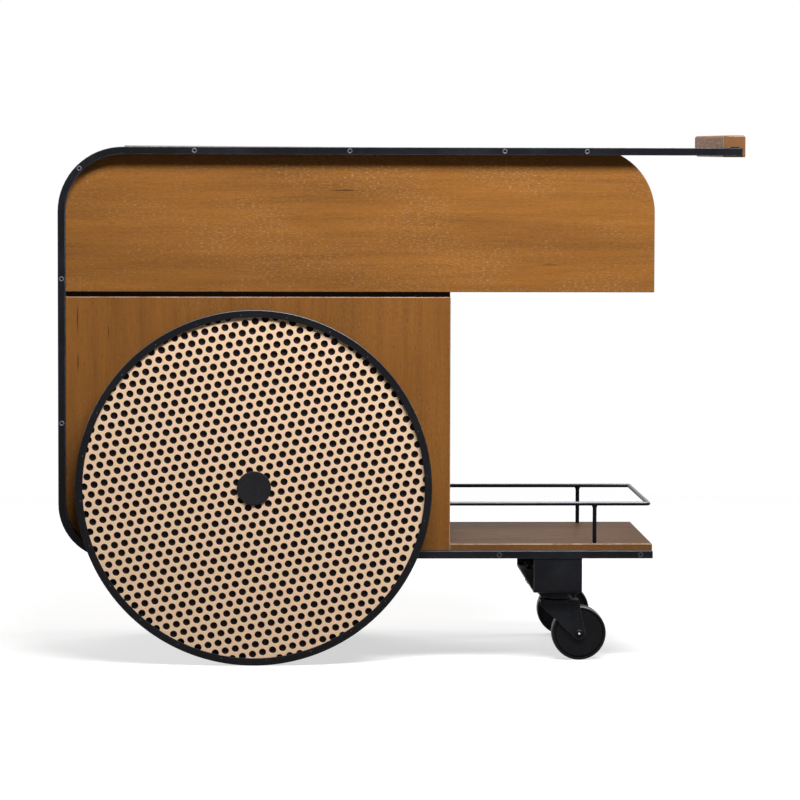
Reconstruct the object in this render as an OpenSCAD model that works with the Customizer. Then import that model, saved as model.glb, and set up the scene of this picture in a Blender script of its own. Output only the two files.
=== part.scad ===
// Bar cart: two wooden cases between C-shaped side frames, on two large perforated wheels and two casters.
// +X runs towards the handle, -Y is the front, +Z is up, and the origin is on the floor in the middle.

/* [Side frames] */
// Length of each top bar, from the cart's left end to its free end
bar_top_l = 1095.5; // [1040:0.5:1160]
// Length of each bottom bar
bar_low_l = 955.5; // [900:0.5:1000]
// Height of the side frames
frame_h = 660; // [620:1:700]
// Height of the frames' underside above the floor
frame_z = 168; // [150:1:190]
// Thickness of the bar, measured in the frame's own plane
bar_w = 12; // [10:0.5:14]
// Depth of the bar across the cart
bar_d = 20; // [16:1:26]
// Outer radius of the upper bend
bend_top_r = 104; // [80:1:120]
// Outer radius of the lower bend
bend_low_r = 88; // [70:1:100]

/* [Frame screws] */
// Distance of the first screw of each top bar from the cart's left end
top_screw_first = 218; // [190:1:240]
// Spacing of the screws along the top and bottom bars
screw_pitch = 248; // [220:1:250]
// Distance of the first screw of each bottom bar from the cart's left end
low_screw_first = 211.5; // [190:0.5:290]
// Height of the lower screw of each upright above the frame's underside
post_screw_first = 218; // [190:1:240]
// Spacing of the two screws in each upright
post_screw_pitch = 231; // [210:1:240]
// Distance of the last screw of the top bar from the upper case's right end
top_screw_end = 111; // [90:1:130]
// Distance of the last screw of the bottom bar from the bar's end
low_screw_end = 20; // [15:1:30]
// Diameter of the screws' shanks
screw_d = 5; // [4:0.5:6]
// Length of the screws
screw_l = 35; // [30:1:40]
// Diameter of the screws' heads
screw_head_d = 8.5; // [8:0.5:10]
// Height of the screws' heads
screw_head_h = 5; // [4:0.5:6]
// Width across flats of the hexagon socket
screw_socket = 4; // [3:0.5:5]

/* [Cases] */
// Width over the side panels of both cases
case_w = 380; // [340:1:420]
// Thickness of the side panels
side_t = 24; // [20:1:28]
// Length of the upper case
upper_l = 957; // [900:1:1000]
// Height of the upper case
upper_h = 232; // [200:1:260]
// Radius of the upper case's right corner
upper_corner_r = 104; // [80:1:120]
// Thickness of the upper case's floor
upper_floor_t = 18; // [15:1:22]
// Thickness of the partition in the upper case
divider_t = 20; // [16:1:24]
// Height of the open joint between the cases
case_gap = 8; // [6:0.5:12]
// How far the spacer stands back from the cases' faces
spacer_inset = 8; // [4:1:12]
// Length of the lower case
lower_l = 629; // [580:1:660]
// Thickness of the lower case's top
lower_top_t = 22; // [18:1:26]
// Thickness of the curved ends of both cases
end_t = 22; // [18:1:26]
// Length of the base board, from the cart's left end to the shelf's edge
base_l = 956.5; // [900:0.5:1000]
// Thickness of the base board
base_t = 22; // [20:1:26]

/* [Lids] */
// Length of the left lid
lid_left_l = 446; // [400:1:500]
// Width of the fixed rail between the lids
centre_rail_w = 30; // [30:1:40]
// Thickness of the lids
lid_t = 20; // [18:1:24]
// Thickness of the metal plate on the left lid
lid_plate_t = 2; // [1.5:0.5:3]
// Distance from the left lid's pivot to the plate's edge
lid_plate_start = 14; // [13:1:20]
// Gap round the lids
lid_gap = 1; // [0.6:0.1:2]
// Height of the pads that the left lid rests on
bumper_h = 1.9; // [1.5:0.1:4]
// Diameter of the pads
bumper_d = 8; // [6:1:10]
// Distance of the pads' middles from the lid's free end
bumper_in = 6; // [5:0.5:7]
// Distance of the pads' middles from the side panels
bumper_side = 30; // [20:1:50]
// Width of the ledges that the lids close on
ledge_w = 12; // [10:1:16]
// Height of the ledges' blocks
ledge_h = 20; // [16:1:26]
// Diameter of the lids' pivot pins
lid_pin_d = 6; // [5:0.5:8]
// Length of each pivot pin on either side of the lid's edge
lid_pin_reach = 14; // [10:1:16]

/* [Gallery rail] */
// Diameter of the rail's rod
rail_d = 6.5; // [5:0.5:8]
// Height of the rail's centre line above the shelf
rail_h = 63.5; // [50:0.5:80]
// Wood between the rail's ends and the inner faces of the side panels
rail_wall = 2.75; // [2:0.25:6]
// Distance of the rail's far run from the shelf's edge
rail_end = 5; // [4:0.5:12]
// Distance of the posts from the shelf's edge
post_end = 92.5; // [70:0.5:110]
// Diameter of the weld fillet at the top of each post
post_fillet_d = 9; // [8:0.5:11]
// Height of the weld fillet
post_fillet_h = 4; // [3:0.5:6]
// Depth to which the rail's ends and posts are let into the wood
rail_seat = 9; // [6:1:12]

/* [Handle] */
// Width of the handle along the cart
handle_w = 36; // [32:1:42]
// Height of the handle
handle_h = 35; // [30:1:40]
// How far the handle covers the bars' free ends
handle_lip = 4.5; // [3:0.5:7]
// How far the handle reaches below the top bars' upper face
handle_lap = 14.5; // [13:0.5:16]
// Radius of the handle's long edges
handle_edge_r = 5; // [3:0.5:8]
// Radius of the edges of the lip that covers the bars' ends
handle_lip_r = 2; // [1:0.5:2]
// Radius of the handle's corners seen from above
handle_plan_r = 7; // [4:0.5:10]
// Radius of the handle's end edges seen from along the cart
handle_end_r = 3; // [2:0.5:5]
// Length of the relief slot over each bar
handle_slot_l = 13.5; // [10:0.5:16]
// Distance of the relief slot from the bars' free ends
handle_slot_in = 6; // [4:0.5:8]
// Height of the relief slot
handle_slot_h = 2; // [1:0.5:3]
// Depth of the relief slot
handle_slot_d = 5; // [3:0.5:6]
// Length of the handle's screws
handle_screw_l = 26; // [20:1:30]

/* [Large wheels] */
// Radius of the large wheels
wheel_r = 284.5; // [260:0.5:300]
// Distance of the large wheels' axle from the cart's left end
wheel_from_left = 313; // [300:1:330]
// Width of the large wheels
wheel_w = 28; // [26:1:34]
// Gap between the side frames and the large wheels
wheel_gap = 8; // [6:0.5:12]
// Thickness of the tyre
tyre_t = 3; // [3:0.5:8]
// Radius of the tyre's edges
tyre_edge_r = 1.5; // [1:0.5:2.5]
// Thickness of the rim's band
rim_t = 8.5; // [6:0.5:10]
// Height of the rim's inner lip
rim_lip_h = 8; // [6:1:12]
// Thickness of the rim's lip and of the hub's flange
rim_lip_t = 4; // [3:0.5:5]
// How far the wheel's face stands back from the rim's edge
face_inset = 5; // [4:0.5:7]
// Thickness of the perforated face
face_t = 5; // [4:0.5:6]
// Distance between the holes of the face
hole_pitch = 16.4; // [15:0.1:20]
// Diameter of the holes
hole_d = 11.6; // [9:0.1:12]
// Least wood between the hub's bore and a hole
hole_wall = 1; // [0.5:0.5:4]
// Angle by which the rows of holes rise
hole_turn = 11.9; // [0:0.1:30]
// Angle between the two directions of rows
hole_skew = 61.9; // [58:0.1:64]
// Diameter of the hub cap
cap_d = 54.6; // [50:0.2:60]
// Thickness of the hub cap
cap_t = 3.5; // [2.5:0.5:4]
// Radius of the hub cap's edge
cap_edge_r = 1.5; // [1:0.1:2]

/* [Axles and hubs] */
// Diameter of the stub axles
axle_d = 15; // [12:1:17]
// Diameter of the axles' shoulders
shoulder_d = 20; // [18:1:24]
// Diameter of the axles' bosses in the side panels
boss_d = 30; // [26:1:34]
// Diameter of the axles' flanges
flange_d = 90; // [80:1:100]
// Thickness of the axles' flanges
flange_t = 5; // [4:0.5:8]
// Diameter of the circle of the axles' bolts
flange_pcd = 64; // [56:1:68]
// Number of bolts in each flange
flange_bolts = 4; // [3:1:6]
// Diameter of the axles' bolts
axle_bolt_d = 6; // [5:0.5:7]
// Length of the axles' bolts
axle_bolt_l = 20; // [16:1:22]
// Diameter of the axles' bolt heads
axle_bolt_head_d = 12; // [10:0.5:13]
// Height of the axles' countersunk bolt heads
axle_bolt_head_h = 3; // [2:0.5:4]
// Width across flats of the axles' bolt sockets
axle_bolt_socket = 4; // [3:0.5:5]
// How far the ball bearings stand back from the ends of the barrel
bearing_recess = 1; // [0.8:0.1:2]
// Outer diameter of the ball bearings
bearing_d = 32; // [30:1:36]
// Width of the ball bearings
bearing_w = 8; // [7:0.5:9]
// Depth of the groove in a ball bearing's faces
bearing_groove = 0.6; // [0.4:0.1:1]
// Outer diameter of the hub's barrel
barrel_d = 42; // [40:1:46]
// Diameter of the hub's flange
hub_flange_d = 90; // [70:1:110]
// Outer diameter of the retaining clips
clip_d = 20; // [18:0.5:22]
// Thickness of the retaining clips
clip_t = 1; // [0.8:0.1:1.4]

/* [Casters] */
// Distance of the casters' swivel axis from the cart's left end
swivel_from_left = 804.5; // [780:0.5:830]
// Distance of the casters' middle planes from the side frames' outer faces
caster_in = 42; // [40:1:60]
// Radius of the casters' wheels
caster_r = 44; // [38:0.5:48]
// Width of the casters' wheels
caster_w = 30; // [26:1:34]
// Distance of the caster's axle behind its swivel axis
caster_trail = 34.5; // [28:0.5:36]
// Thickness of the casters' tread
tread_t = 4; // [3:0.5:6]
// Radius of the tread's edges
tread_edge_r = 3; // [1.5:0.5:3]
// Width of the groove inside the tread
tread_groove = 3; // [2:0.5:5]
// Depth of the groove inside the tread
tread_groove_h = 4; // [2:0.5:6]
// How far the web stands back from the tread
web_inset = 1.5; // [1:0.5:3]
// Diameter of the wheel's hub
caster_hub_d = 22; // [18:1:26]
// Diameter of the caster's axle
caster_axle_d = 8; // [6:0.5:10]
// Diameter of the axle's heads
caster_axle_head_d = 13; // [12:0.5:16]
// Height of the axle's heads
caster_axle_head_h = 3; // [2:0.5:5]
// Thickness of the fork's legs
leg_t = 2.5; // [2:0.5:4]
// Radius of the legs' lower ends
leg_end_r = 10; // [8:0.5:13]
// Gap between the fork's legs and the wheel
leg_gap = 1; // [0.6:0.1:2]
// Reach of the fork ahead of the swivel axis
fork_front = 28.5; // [26:0.5:32]
// Reach of the fork behind the swivel axis
fork_rear = 34; // [28:0.5:38]
// Height of the legs' upright front edge
leg_front_h = 8; // [5:0.5:12]
// Thickness of the fork's crown
crown_t = 3.5; // [3:0.5:5]
// Gap between the wheel and the crown
crown_gap = 6.5; // [5:0.5:10]
// Diameter of the swivel race
race_d = 47; // [42:1:52]
// Height of the swivel race
race_h = 10.7; // [8:0.1:14]
// Bevel at the race's lower edge
race_bevel = 3; // [2:0.5:4]
// Diameter of the kingpin
kingpin_d = 10; // [8:0.5:12]
// Diameter of the kingpin's nut, across its corners
kingpin_nut_d = 18; // [16:0.5:20]
// Height of the kingpin's nut
kingpin_nut_h = 5; // [4:0.5:6]
// Side of the casters' square plates
plate_w = 64; // [60:1:72]
// Thickness of the casters' plates
plate_t = 3; // [2.5:0.5:5]
// Radius of the plates' corners
plate_corner_r = 6; // [4:0.5:8]
// Distance of the plates' bolts from the swivel axis, along and across the cart
plate_bolt_at = 24; // [22:0.5:26]
// Diameter of the plates' bolts
plate_bolt_d = 6; // [5:0.5:6]
// Diameter of the plates' bolt heads
plate_bolt_head_d = 9.6; // [9:0.2:11]
// Height of the plates' bolt heads
plate_bolt_head_h = 4; // [3:0.5:5]
// Diameter of the plates' nuts, across their corners
plate_nut_d = 11.4; // [10:0.2:12]
// Height of the plates' nuts
plate_nut_h = 5; // [4:0.5:6]
// How far the plates' bolts reach past their nuts
plate_bolt_end = 1; // [0.5:0.5:2]

/* [Caster bracket] */
// Width of the bracket along the cart
bracket_w = 78; // [76:1:100]
// Thickness of the bracket's plate
bracket_t = 3; // [2.5:0.5:4]
// How far the bracket stands back from the bars' outer faces
bracket_inset = 2; // [0:0.5:6]
// Inner radius of the bracket's bends
bracket_bend_r = 3; // [2:0.5:6]
// How far the bracket's middle lies to the left of the swivel axis
bracket_shift = 2; // [0:0.5:4]

/* [Clearances] */
// Radial clearance of pins, screws and shafts in their holes
fit_gap = 0.05; // [0.03:0.01:0.08]
// Clearance between faces that turn past each other
run_gap = 0.3; // [0.3:0.05:0.5]
// How deep holes run past the ends of what they hold
tip_gap = 0.5; // [0.3:0.1:1]

/* [Hidden] */
$fn = 48;
// How far a cutting shape runs past the face that it cuts
cut = 1;
// How far inside a rounded end the straight edges that run into it are aimed
tuck = 0.1;

// Heights of the frames and cases
frame_top = frame_z + frame_h;
upper_z = frame_top - upper_h;
lower_top_z = upper_z - case_gap;
shelf_z = frame_z + base_t;

// Places along the cart
left_x = -(bar_top_l + handle_lip) / 2;
upper_right = left_x + upper_l;
lower_right = left_x + lower_l;
shelf_right = left_x + base_l;
bar_top_right = left_x + bar_top_l;
bar_low_right = left_x + bar_low_l;
wheel_x = left_x + wheel_from_left;
swivel_x = left_x + swivel_from_left;
caster_axle_x = swivel_x + caster_trail;
bracket_x = swivel_x - bracket_shift - bracket_w / 2;

// Places across the cart, measured outwards from the middle plane
case_y = case_w / 2;
inner_y = case_y - side_t;
frame_y = case_y + bar_d;
wheel_in_y = frame_y + wheel_gap;
wheel_out_y = wheel_in_y + wheel_w;
rail_y = inner_y + rail_wall + rail_d / 2;
caster_y = frame_y - caster_in;

// Lids: the left one lies on pads, so its free end stands proud
lid_left_x = left_x + bend_top_r;
rail_left_x = lid_left_x + lid_left_l;
rail_right_x = rail_left_x + centre_rail_w;
lid_right_x = upper_right - upper_corner_r;
lid_board_t = lid_t - lid_plate_t;
lid_half_w = inner_y - lid_gap;
lid_under = frame_top - lid_t;
pivot_left = [rail_left_x - lid_gap - lid_board_t / 2, lid_under + lid_board_t / 2];
pivot_right = [rail_right_x + lid_gap + lid_t / 2, lid_under + lid_t / 2];
bumper_x = lid_left_x + lid_gap + bumper_in;
lid_tilt = atan((bumper_h + run_gap) / (pivot_left.x - bumper_x));

// Large wheels, from the inside outwards
rim_r = wheel_r - tyre_t;
disc_r = rim_r - rim_t - fit_gap;
core_in_y = wheel_in_y + rim_lip_t;
face_out_y = wheel_out_y - face_inset;
face_in_y = face_out_y - face_t;
barrel_out_y = face_in_y + face_t / 2;
bearing_ys = [wheel_in_y + bearing_recess, barrel_out_y - bearing_recess - bearing_w];
clip_y = barrel_out_y - bearing_recess + run_gap;
axle_end_y = face_out_y - tip_gap;

// Casters, from the floor upwards
crown_z = 2 * caster_r + crown_gap;
race_z = crown_z + crown_t + run_gap;
plate_z = race_z + race_h;
bracket_z = plate_z + plate_t;
leg_in = caster_w / 2 + leg_gap;
leg_out = leg_in + leg_t;
bracket_y = frame_y - bracket_inset;

FRAME_BLACK = [0.13, 0.13, 0.15];
SIDE_WOOD = [0.60, 0.40, 0.20];
LOWER_WOOD = [0.51, 0.33, 0.17];
PALE_WOOD = [0.90, 0.75, 0.60];
STEEL = [0.72, 0.72, 0.74];
RUBBER = [0.08, 0.08, 0.08];

// Shared forms

// Makes a piece for the front, or its mirror image for the back
module on_back(back) {
  mirror([0, back ? 1 : 0, 0]) children();
}

// Stands a flat outline, drawn in X and Z, up as a plate between two distances from the middle plane
module upright(from_y, to_y) {
  translate([0, -from_y, 0]) rotate([90, 0, 0]) linear_extrude(to_y - from_y) children();
}

// Turns a profile, drawn as radius and distance from the middle plane, round an axle across the cart
module turned(x, z) {
  translate([x, 0, z]) rotate([90, 0, 0]) rotate_extrude($fn = 120) children();
}

// A round bar across the cart, between two distances from the middle plane
module cross_bar(x, z, from_y, to_y, d) {
  translate([x, -from_y, z]) rotate([90, 0, 0]) cylinder(d = d, h = to_y - from_y);
}

// What rounding takes off a square corner at the origin
module corner_waste(r) {
  difference() {
    translate([-cut, -cut]) square(r + cut);
    translate([r, r]) circle(r, $fn = 96);
  }
}

// A rectangle with the given radii at its corners: lower left, lower right, upper right, upper left
module panel(l, h, radii) {
  difference() {
    square([l, h]);
    if (radii[0] > 0) corner_waste(radii[0]);
    if (radii[1] > 0) translate([l, 0]) mirror([1, 0]) corner_waste(radii[1]);
    if (radii[2] > 0) translate([l, h]) rotate(180) corner_waste(radii[2]);
    if (radii[3] > 0) translate([0, h]) mirror([0, 1]) corner_waste(radii[3]);
  }
}

// A socket screw with its head's face at the origin and its tip down
module socket_screw(l) {
  difference() {
    union() {
      translate([0, 0, -screw_head_h]) cylinder(d = screw_head_d, h = screw_head_h);
      translate([0, 0, -l]) cylinder(d = screw_d, h = l - screw_head_h / 2);
    }
    translate([0, 0, -screw_head_h / 2])
      cylinder(d = screw_socket / cos(30), h = screw_head_h, $fn = 6);
  }
}

// The hole that a socket screw needs
module socket_screw_hole(l) {
  translate([0, 0, -screw_head_h - fit_gap]) cylinder(d = screw_head_d + 2 * fit_gap, h = screw_head_h + cut);
  translate([0, 0, -l - tip_gap]) cylinder(d = screw_d + 2 * fit_gap, h = l);
}

// Side frames

// Places of one side frame's screws, as distances along the cart and up from the floor
function frame_screw_places() = let (
  bar_mid = bar_w / 2,
  bend_x = left_x + bend_top_r,
  bend_z = frame_top - bend_top_r,
  bend_mid = (bend_top_r - bar_mid) * sin(45)
) concat(
  [for (i = [0:2]) [left_x + top_screw_first + i * screw_pitch, frame_top - bar_mid]],
  [[upper_right - top_screw_end, frame_top - bar_mid]],
  [[bend_x - bend_mid, bend_z + bend_mid]],
  [for (i = [0:1]) [left_x + bar_mid, frame_z + post_screw_first + i * post_screw_pitch]],
  [for (i = [0:2]) [left_x + low_screw_first + i * screw_pitch, frame_z + bar_mid]],
  [[bar_low_right - low_screw_end, frame_z + bar_mid]]
);

module at_frame_screws() {
  for (place = frame_screw_places())
    translate([place.x, -frame_y, place.y]) rotate([90, 0, 0]) children();
}

module frame_screw_holes() {
  at_frame_screws() socket_screw_hole(screw_l);
}

module side_frame(back) {
  color(FRAME_BLACK) on_back(back) difference() {
    upright(case_y, frame_y) translate([left_x, frame_z]) difference() {
      panel(bar_top_l, frame_h, [bend_low_r, 0, 0, bend_top_r]);
      translate([bar_w, bar_w])
        panel(bar_top_l, frame_h - 2 * bar_w, [bend_low_r - bar_w, 0, 0, bend_top_r - bar_w]);
      translate([bar_low_l, -cut]) square([bar_top_l, frame_h - 2 * bar_w]);
    }
    frame_screw_holes();
    handle_screw_holes();
  }
}

module frame_screws() {
  color(STEEL) for (back = [false, true]) on_back(back) at_frame_screws() socket_screw(screw_l);
}

// Upper case

module upper_outline() {
  panel(upper_l, upper_h, [0, 0, upper_corner_r, bend_top_r]);
}

module upper_side(back) {
  color(SIDE_WOOD) on_back(back) difference() {
    upright(inner_y, case_y) translate([left_x, upper_z]) upper_outline();
    frame_screw_holes();
    lid_pin_holes();
  }
}

// A curved end: the outline's edge band up to the lid, and the ledge under the lid's free end
module end_profile(r, h) {
  intersection() {
    difference() {
      panel(2 * r, h, [0, 0, 0, r]);
      translate([end_t, -cut]) panel(2 * r, h - end_t + cut, [0, 0, 0, r - end_t]);
    }
    translate([-cut, -cut]) square([r + cut, h + 2 * cut]);
  }
  translate([r - ledge_w, h - lid_t - ledge_h]) square([2 * ledge_w, ledge_h]);
}

module upper_end_left() {
  color(SIDE_WOOD) upright(-inner_y, inner_y) translate([left_x, upper_z]) end_profile(bend_top_r, upper_h);
}

module upper_end_right() {
  color(SIDE_WOOD) upright(-inner_y, inner_y)
    translate([upper_right, upper_z]) mirror([1, 0]) end_profile(upper_corner_r, upper_h);
}

module upper_bottom() {
  color(SIDE_WOOD) translate([left_x + end_t, -inner_y, upper_z])
    cube([upper_l - 2 * end_t, 2 * inner_y, upper_floor_t]);
}

module upper_divider() {
  color(SIDE_WOOD)
    translate([rail_left_x + (centre_rail_w - divider_t) / 2, -inner_y, upper_z + upper_floor_t])
    cube([divider_t, 2 * inner_y, upper_h - upper_floor_t - lid_t]);
}

module centre_rail() {
  color(SIDE_WOOD) translate([rail_left_x, -inner_y, lid_under])
    cube([centre_rail_w, 2 * inner_y, lid_t]);
}

module case_spacer() {
  color(FRAME_BLACK) translate([left_x + bar_w, -case_y + spacer_inset, lower_top_z])
    cube([lower_l - 2 * bar_w, case_w - 2 * spacer_inset, case_gap]);
}

// Lids

// Tilts the left lid about its pivot by what the pads lift it
module left_lid_rest() {
  translate([pivot_left.x, 0, pivot_left.y]) rotate([0, lid_tilt, 0]) children();
}

module lid_pin_holes() {
  for (place = [pivot_left, pivot_right])
    cross_bar(place.x, place.y, lid_half_w - lid_pin_reach - tip_gap, inner_y + lid_pin_reach + tip_gap,
      lid_pin_d + 2 * fit_gap);
}

// A lid's board in its own plane: its pivot at the origin, and a round edge about it
module lid_section(reach, t) {
  circle(d = t, $fn = 64);
  translate([-reach, -t / 2]) square([reach, t]);
}

module lid_left_board() {
  reach = pivot_left.x - lid_left_x - lid_gap;
  color(SIDE_WOOD) difference() {
    left_lid_rest() upright(-lid_half_w, lid_half_w) lid_section(reach, lid_board_t);
    for (back = [false, true]) on_back(back) lid_pin_holes();
  }
}

module lid_left_plate() {
  reach = pivot_left.x - lid_left_x - lid_gap;
  color(STEEL) left_lid_rest() translate([-reach, -lid_half_w, lid_board_t / 2])
    cube([reach - lid_plate_start, 2 * lid_half_w, lid_plate_t]);
}

module lid_right_board() {
  reach = lid_right_x - pivot_right.x - lid_gap;
  color(SIDE_WOOD) difference() {
    upright(-lid_half_w, lid_half_w)
      translate([pivot_right.x, pivot_right.y]) mirror([1, 0]) lid_section(reach, lid_t);
    for (back = [false, true]) on_back(back) lid_pin_holes();
  }
}

module lid_pins() {
  color(STEEL) for (back = [false, true]) on_back(back) for (place = [pivot_left, pivot_right])
    cross_bar(place.x, place.y, lid_half_w - lid_pin_reach, inner_y + lid_pin_reach, lid_pin_d);
}

module lid_bumpers() {
  color(RUBBER) for (side = [-1, 1]) translate([bumper_x, side * (inner_y - bumper_side), lid_under])
    cylinder(d = bumper_d, h = bumper_h);
}

// Lower case

module lower_side(back) {
  color(LOWER_WOOD) on_back(back) difference() {
    upright(inner_y, case_y) translate([left_x, frame_z])
      panel(lower_l, lower_top_z - frame_z, [bend_low_r, 0, 0, 0]);
    frame_screw_holes();
    axle_holes();
    rail_holes();
  }
}

// The curved left end, from the case's top down to the base board
module lower_end() {
  h = lower_top_z - frame_z;
  color(LOWER_WOOD) upright(-inner_y, inner_y) translate([left_x, frame_z]) intersection() {
    difference() {
      panel(2 * bend_low_r, h, [bend_low_r, 0, 0, 0]);
      translate([end_t, base_t]) panel(2 * bend_low_r, h, [bend_low_r - end_t, 0, 0, 0]);
    }
    translate([-cut, -cut]) square([bend_low_r + cut, h + 2 * cut]);
  }
}

module lower_top() {
  color(LOWER_WOOD) translate([left_x + end_t, -inner_y, lower_top_z - lower_top_t])
    cube([lower_l - end_t, 2 * inner_y, lower_top_t]);
}

// The base board lies between the side panels, and runs on to the right at the full width
module base_board() {
  color(SIDE_WOOD) difference() {
    union() {
      translate([left_x + bend_low_r, -inner_y, frame_z])
        cube([base_l - bend_low_r, 2 * inner_y, base_t]);
      translate([lower_right, -case_y, frame_z]) cube([base_l - lower_l, case_w, base_t]);
    }
    for (back = [false, true]) on_back(back) {
      frame_screw_holes();
      rail_holes();
    }
  }
}

// Gallery rail

module rail_rods(d, seat) {
  z = shelf_z + rail_h;
  end_x = shelf_right - rail_end;
  for (side = [-1, 1]) {
    translate([lower_right - seat, side * rail_y, z]) rotate([0, 90, 0])
      cylinder(d = d, h = end_x - lower_right + seat);
    translate([shelf_right - post_end, side * rail_y, shelf_z - seat]) cylinder(d = d, h = rail_h + seat);
  }
}

module rail_holes() {
  rail_rods(rail_d + 2 * fit_gap, rail_seat + tip_gap);
}

module gallery_rail() {
  z = shelf_z + rail_h;
  end_x = shelf_right - rail_end;
  color(FRAME_BLACK) {
    rail_rods(rail_d, rail_seat);
    translate([end_x, -rail_y, z]) rotate([-90, 0, 0]) cylinder(d = rail_d, h = 2 * rail_y);
    for (side = [-1, 1]) {
      translate([end_x, side * rail_y, z]) sphere(d = rail_d);
      translate([shelf_right - post_end, side * rail_y, z - rail_d / 2 - post_fillet_h])
        cylinder(d1 = rail_d, d2 = post_fillet_d, h = post_fillet_h + rail_d / 4);
    }
  }
}

// Handle

module at_handle_screws() {
  for (side = [-1, 1])
    translate([bar_top_right + handle_lip - handle_w / 2, side * (case_y + bar_d / 2), frame_top - bar_w])
      mirror([0, 0, 1]) children();
}

module handle_screw_holes() {
  at_handle_screws() socket_screw_hole(handle_screw_l);
}

module handle() {
  x = bar_top_right + handle_lip - handle_w;
  z = frame_top - handle_lap;
  color(SIDE_WOOD) difference() {
    intersection() {
      upright(-frame_y, frame_y) translate([x, z])
        panel(handle_w, handle_h, [handle_edge_r, handle_lip_r, handle_edge_r, handle_edge_r]);
      translate([x, -frame_y, z - cut]) linear_extrude(handle_h + 2 * cut)
        panel(handle_w, 2 * frame_y, [handle_plan_r, handle_lip_r, handle_lip_r, handle_plan_r]);
      translate([x - cut, 0, z]) rotate([90, 0, 90]) linear_extrude(handle_w + 2 * cut)
        translate([-frame_y, 0]) panel(2 * frame_y, handle_h, [0, 0, handle_end_r, handle_end_r]);
    }
    for (back = [false, true]) on_back(back) {
      translate([x - cut, -frame_y - cut, z - cut])
        cube([handle_w - handle_lip + cut, bar_d + cut, handle_lap + cut]);
      translate([bar_top_right - handle_slot_in - handle_slot_l, -frame_y - cut, frame_top - cut])
        cube([handle_slot_l, handle_slot_d + cut, handle_slot_h + cut]);
    }
    handle_screw_holes();
  }
}

module handle_screws() {
  color(STEEL) at_handle_screws() socket_screw(handle_screw_l);
}

// Axles of the large wheels

module axle(back) {
  color(STEEL) on_back(back) difference() {
    turned(wheel_x, wheel_r) {
      translate([0, inner_y - flange_t]) square([flange_d / 2, flange_t]);
      translate([0, inner_y - flange_t]) square([boss_d / 2, side_t + flange_t]);
      translate([0, inner_y]) square([shoulder_d / 2, bearing_ys[0] - run_gap - inner_y]);
      translate([0, inner_y]) square([axle_d / 2, axle_end_y - inner_y]);
    }
    at_axle_bolts() axle_bolt_hole();
    clip_groove();
  }
}

// The groove near the axle's end, which is as deep as the clip is thick
module clip_groove() {
  turned(wheel_x, wheel_r) translate([axle_d / 2 - clip_t, clip_y])
    square([clip_t + cut, clip_t + fit_gap]);
}

module at_axle_bolts() {
  for (i = [0:flange_bolts - 1])
    translate([wheel_x, 0, wheel_r]) rotate([0, 45 + i * 360 / flange_bolts, 0])
      translate([flange_pcd / 2, -inner_y + flange_t, 0]) rotate([-90, 0, 0]) children();
}

// A countersunk bolt with its face at the origin and its tip down
module axle_bolt() {
  difference() {
    union() {
      translate([0, 0, -axle_bolt_head_h])
        cylinder(d1 = axle_bolt_d, d2 = axle_bolt_head_d, h = axle_bolt_head_h);
      translate([0, 0, -axle_bolt_l]) cylinder(d = axle_bolt_d, h = axle_bolt_l - axle_bolt_head_h / 2);
    }
    translate([0, 0, -axle_bolt_head_h / 2])
      cylinder(d = axle_bolt_socket / cos(30), h = axle_bolt_head_h, $fn = 6);
  }
}

module axle_bolt_hole() {
  translate([0, 0, -axle_bolt_head_h - fit_gap])
    cylinder(d1 = axle_bolt_d + 2 * fit_gap, d2 = axle_bolt_head_d + 2 * fit_gap, h = axle_bolt_head_h);
  translate([0, 0, -2 * fit_gap]) cylinder(d = axle_bolt_head_d + 2 * fit_gap, h = cut);
  translate([0, 0, -axle_bolt_l - tip_gap]) cylinder(d = axle_bolt_d + 2 * fit_gap, h = axle_bolt_l);
}

// The holes in a side panel: one for the axle's boss, and one for each bolt
module axle_holes() {
  cross_bar(wheel_x, wheel_r, inner_y - cut, case_y + cut, boss_d + 2 * fit_gap);
  at_axle_bolts() axle_bolt_hole();
}

module axle_bolts() {
  color(STEEL) for (back = [false, true]) on_back(back) at_axle_bolts() axle_bolt();
}

module axle_clips() {
  color(STEEL) for (back = [false, true]) on_back(back) difference() {
    turned(wheel_x, wheel_r) translate([axle_d / 2 - clip_t + fit_gap, clip_y + fit_gap / 2])
      square([(clip_d - axle_d) / 2 + clip_t - fit_gap, clip_t]);
    translate([wheel_x - axle_d / 4, -clip_y - clip_t - cut, wheel_r - clip_d])
      cube([axle_d / 2, clip_t + 2 * cut, clip_d]);
  }
}

// Large wheels

module wheel_tyre(back) {
  color(RUBBER) on_back(back) turned(wheel_x, wheel_r) translate([rim_r, wheel_in_y])
    panel(tyre_t, wheel_w, [0, tyre_edge_r, tyre_edge_r, 0]);
}

module wheel_rim(back) {
  color(FRAME_BLACK) on_back(back) turned(wheel_x, wheel_r) {
    translate([rim_r - rim_t, wheel_in_y]) square([rim_t, wheel_w]);
    translate([rim_r - rim_t - rim_lip_h, wheel_in_y]) square([rim_lip_h + cut, rim_lip_t]);
  }
}

module wheel_core(back) {
  color(RUBBER) on_back(back) turned(wheel_x, wheel_r)
    translate([barrel_d / 2 + fit_gap, core_in_y])
      square([disc_r - barrel_d / 2 - fit_gap, face_in_y - core_in_y]);
}

// Places of the face's holes: a slanted grid, turned, which leaves out what the hub's bore takes up
// and runs out at the disc's edge
function hole_places() = let (
  steps = ceil(disc_r / hole_pitch / sin(hole_skew)) + 1,
  clear_r = barrel_d / 2 + hole_wall + hole_d / 2
) [for (i = [-steps:steps], j = [-steps:steps]) let (
  x = hole_pitch * (i * cos(hole_turn) + j * cos(hole_turn + hole_skew)),
  z = hole_pitch * (i * sin(hole_turn) + j * sin(hole_turn + hole_skew)),
  r = norm([x, z])
) if (r > clear_r && r < disc_r + hole_d / 4) [x, z]];

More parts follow.
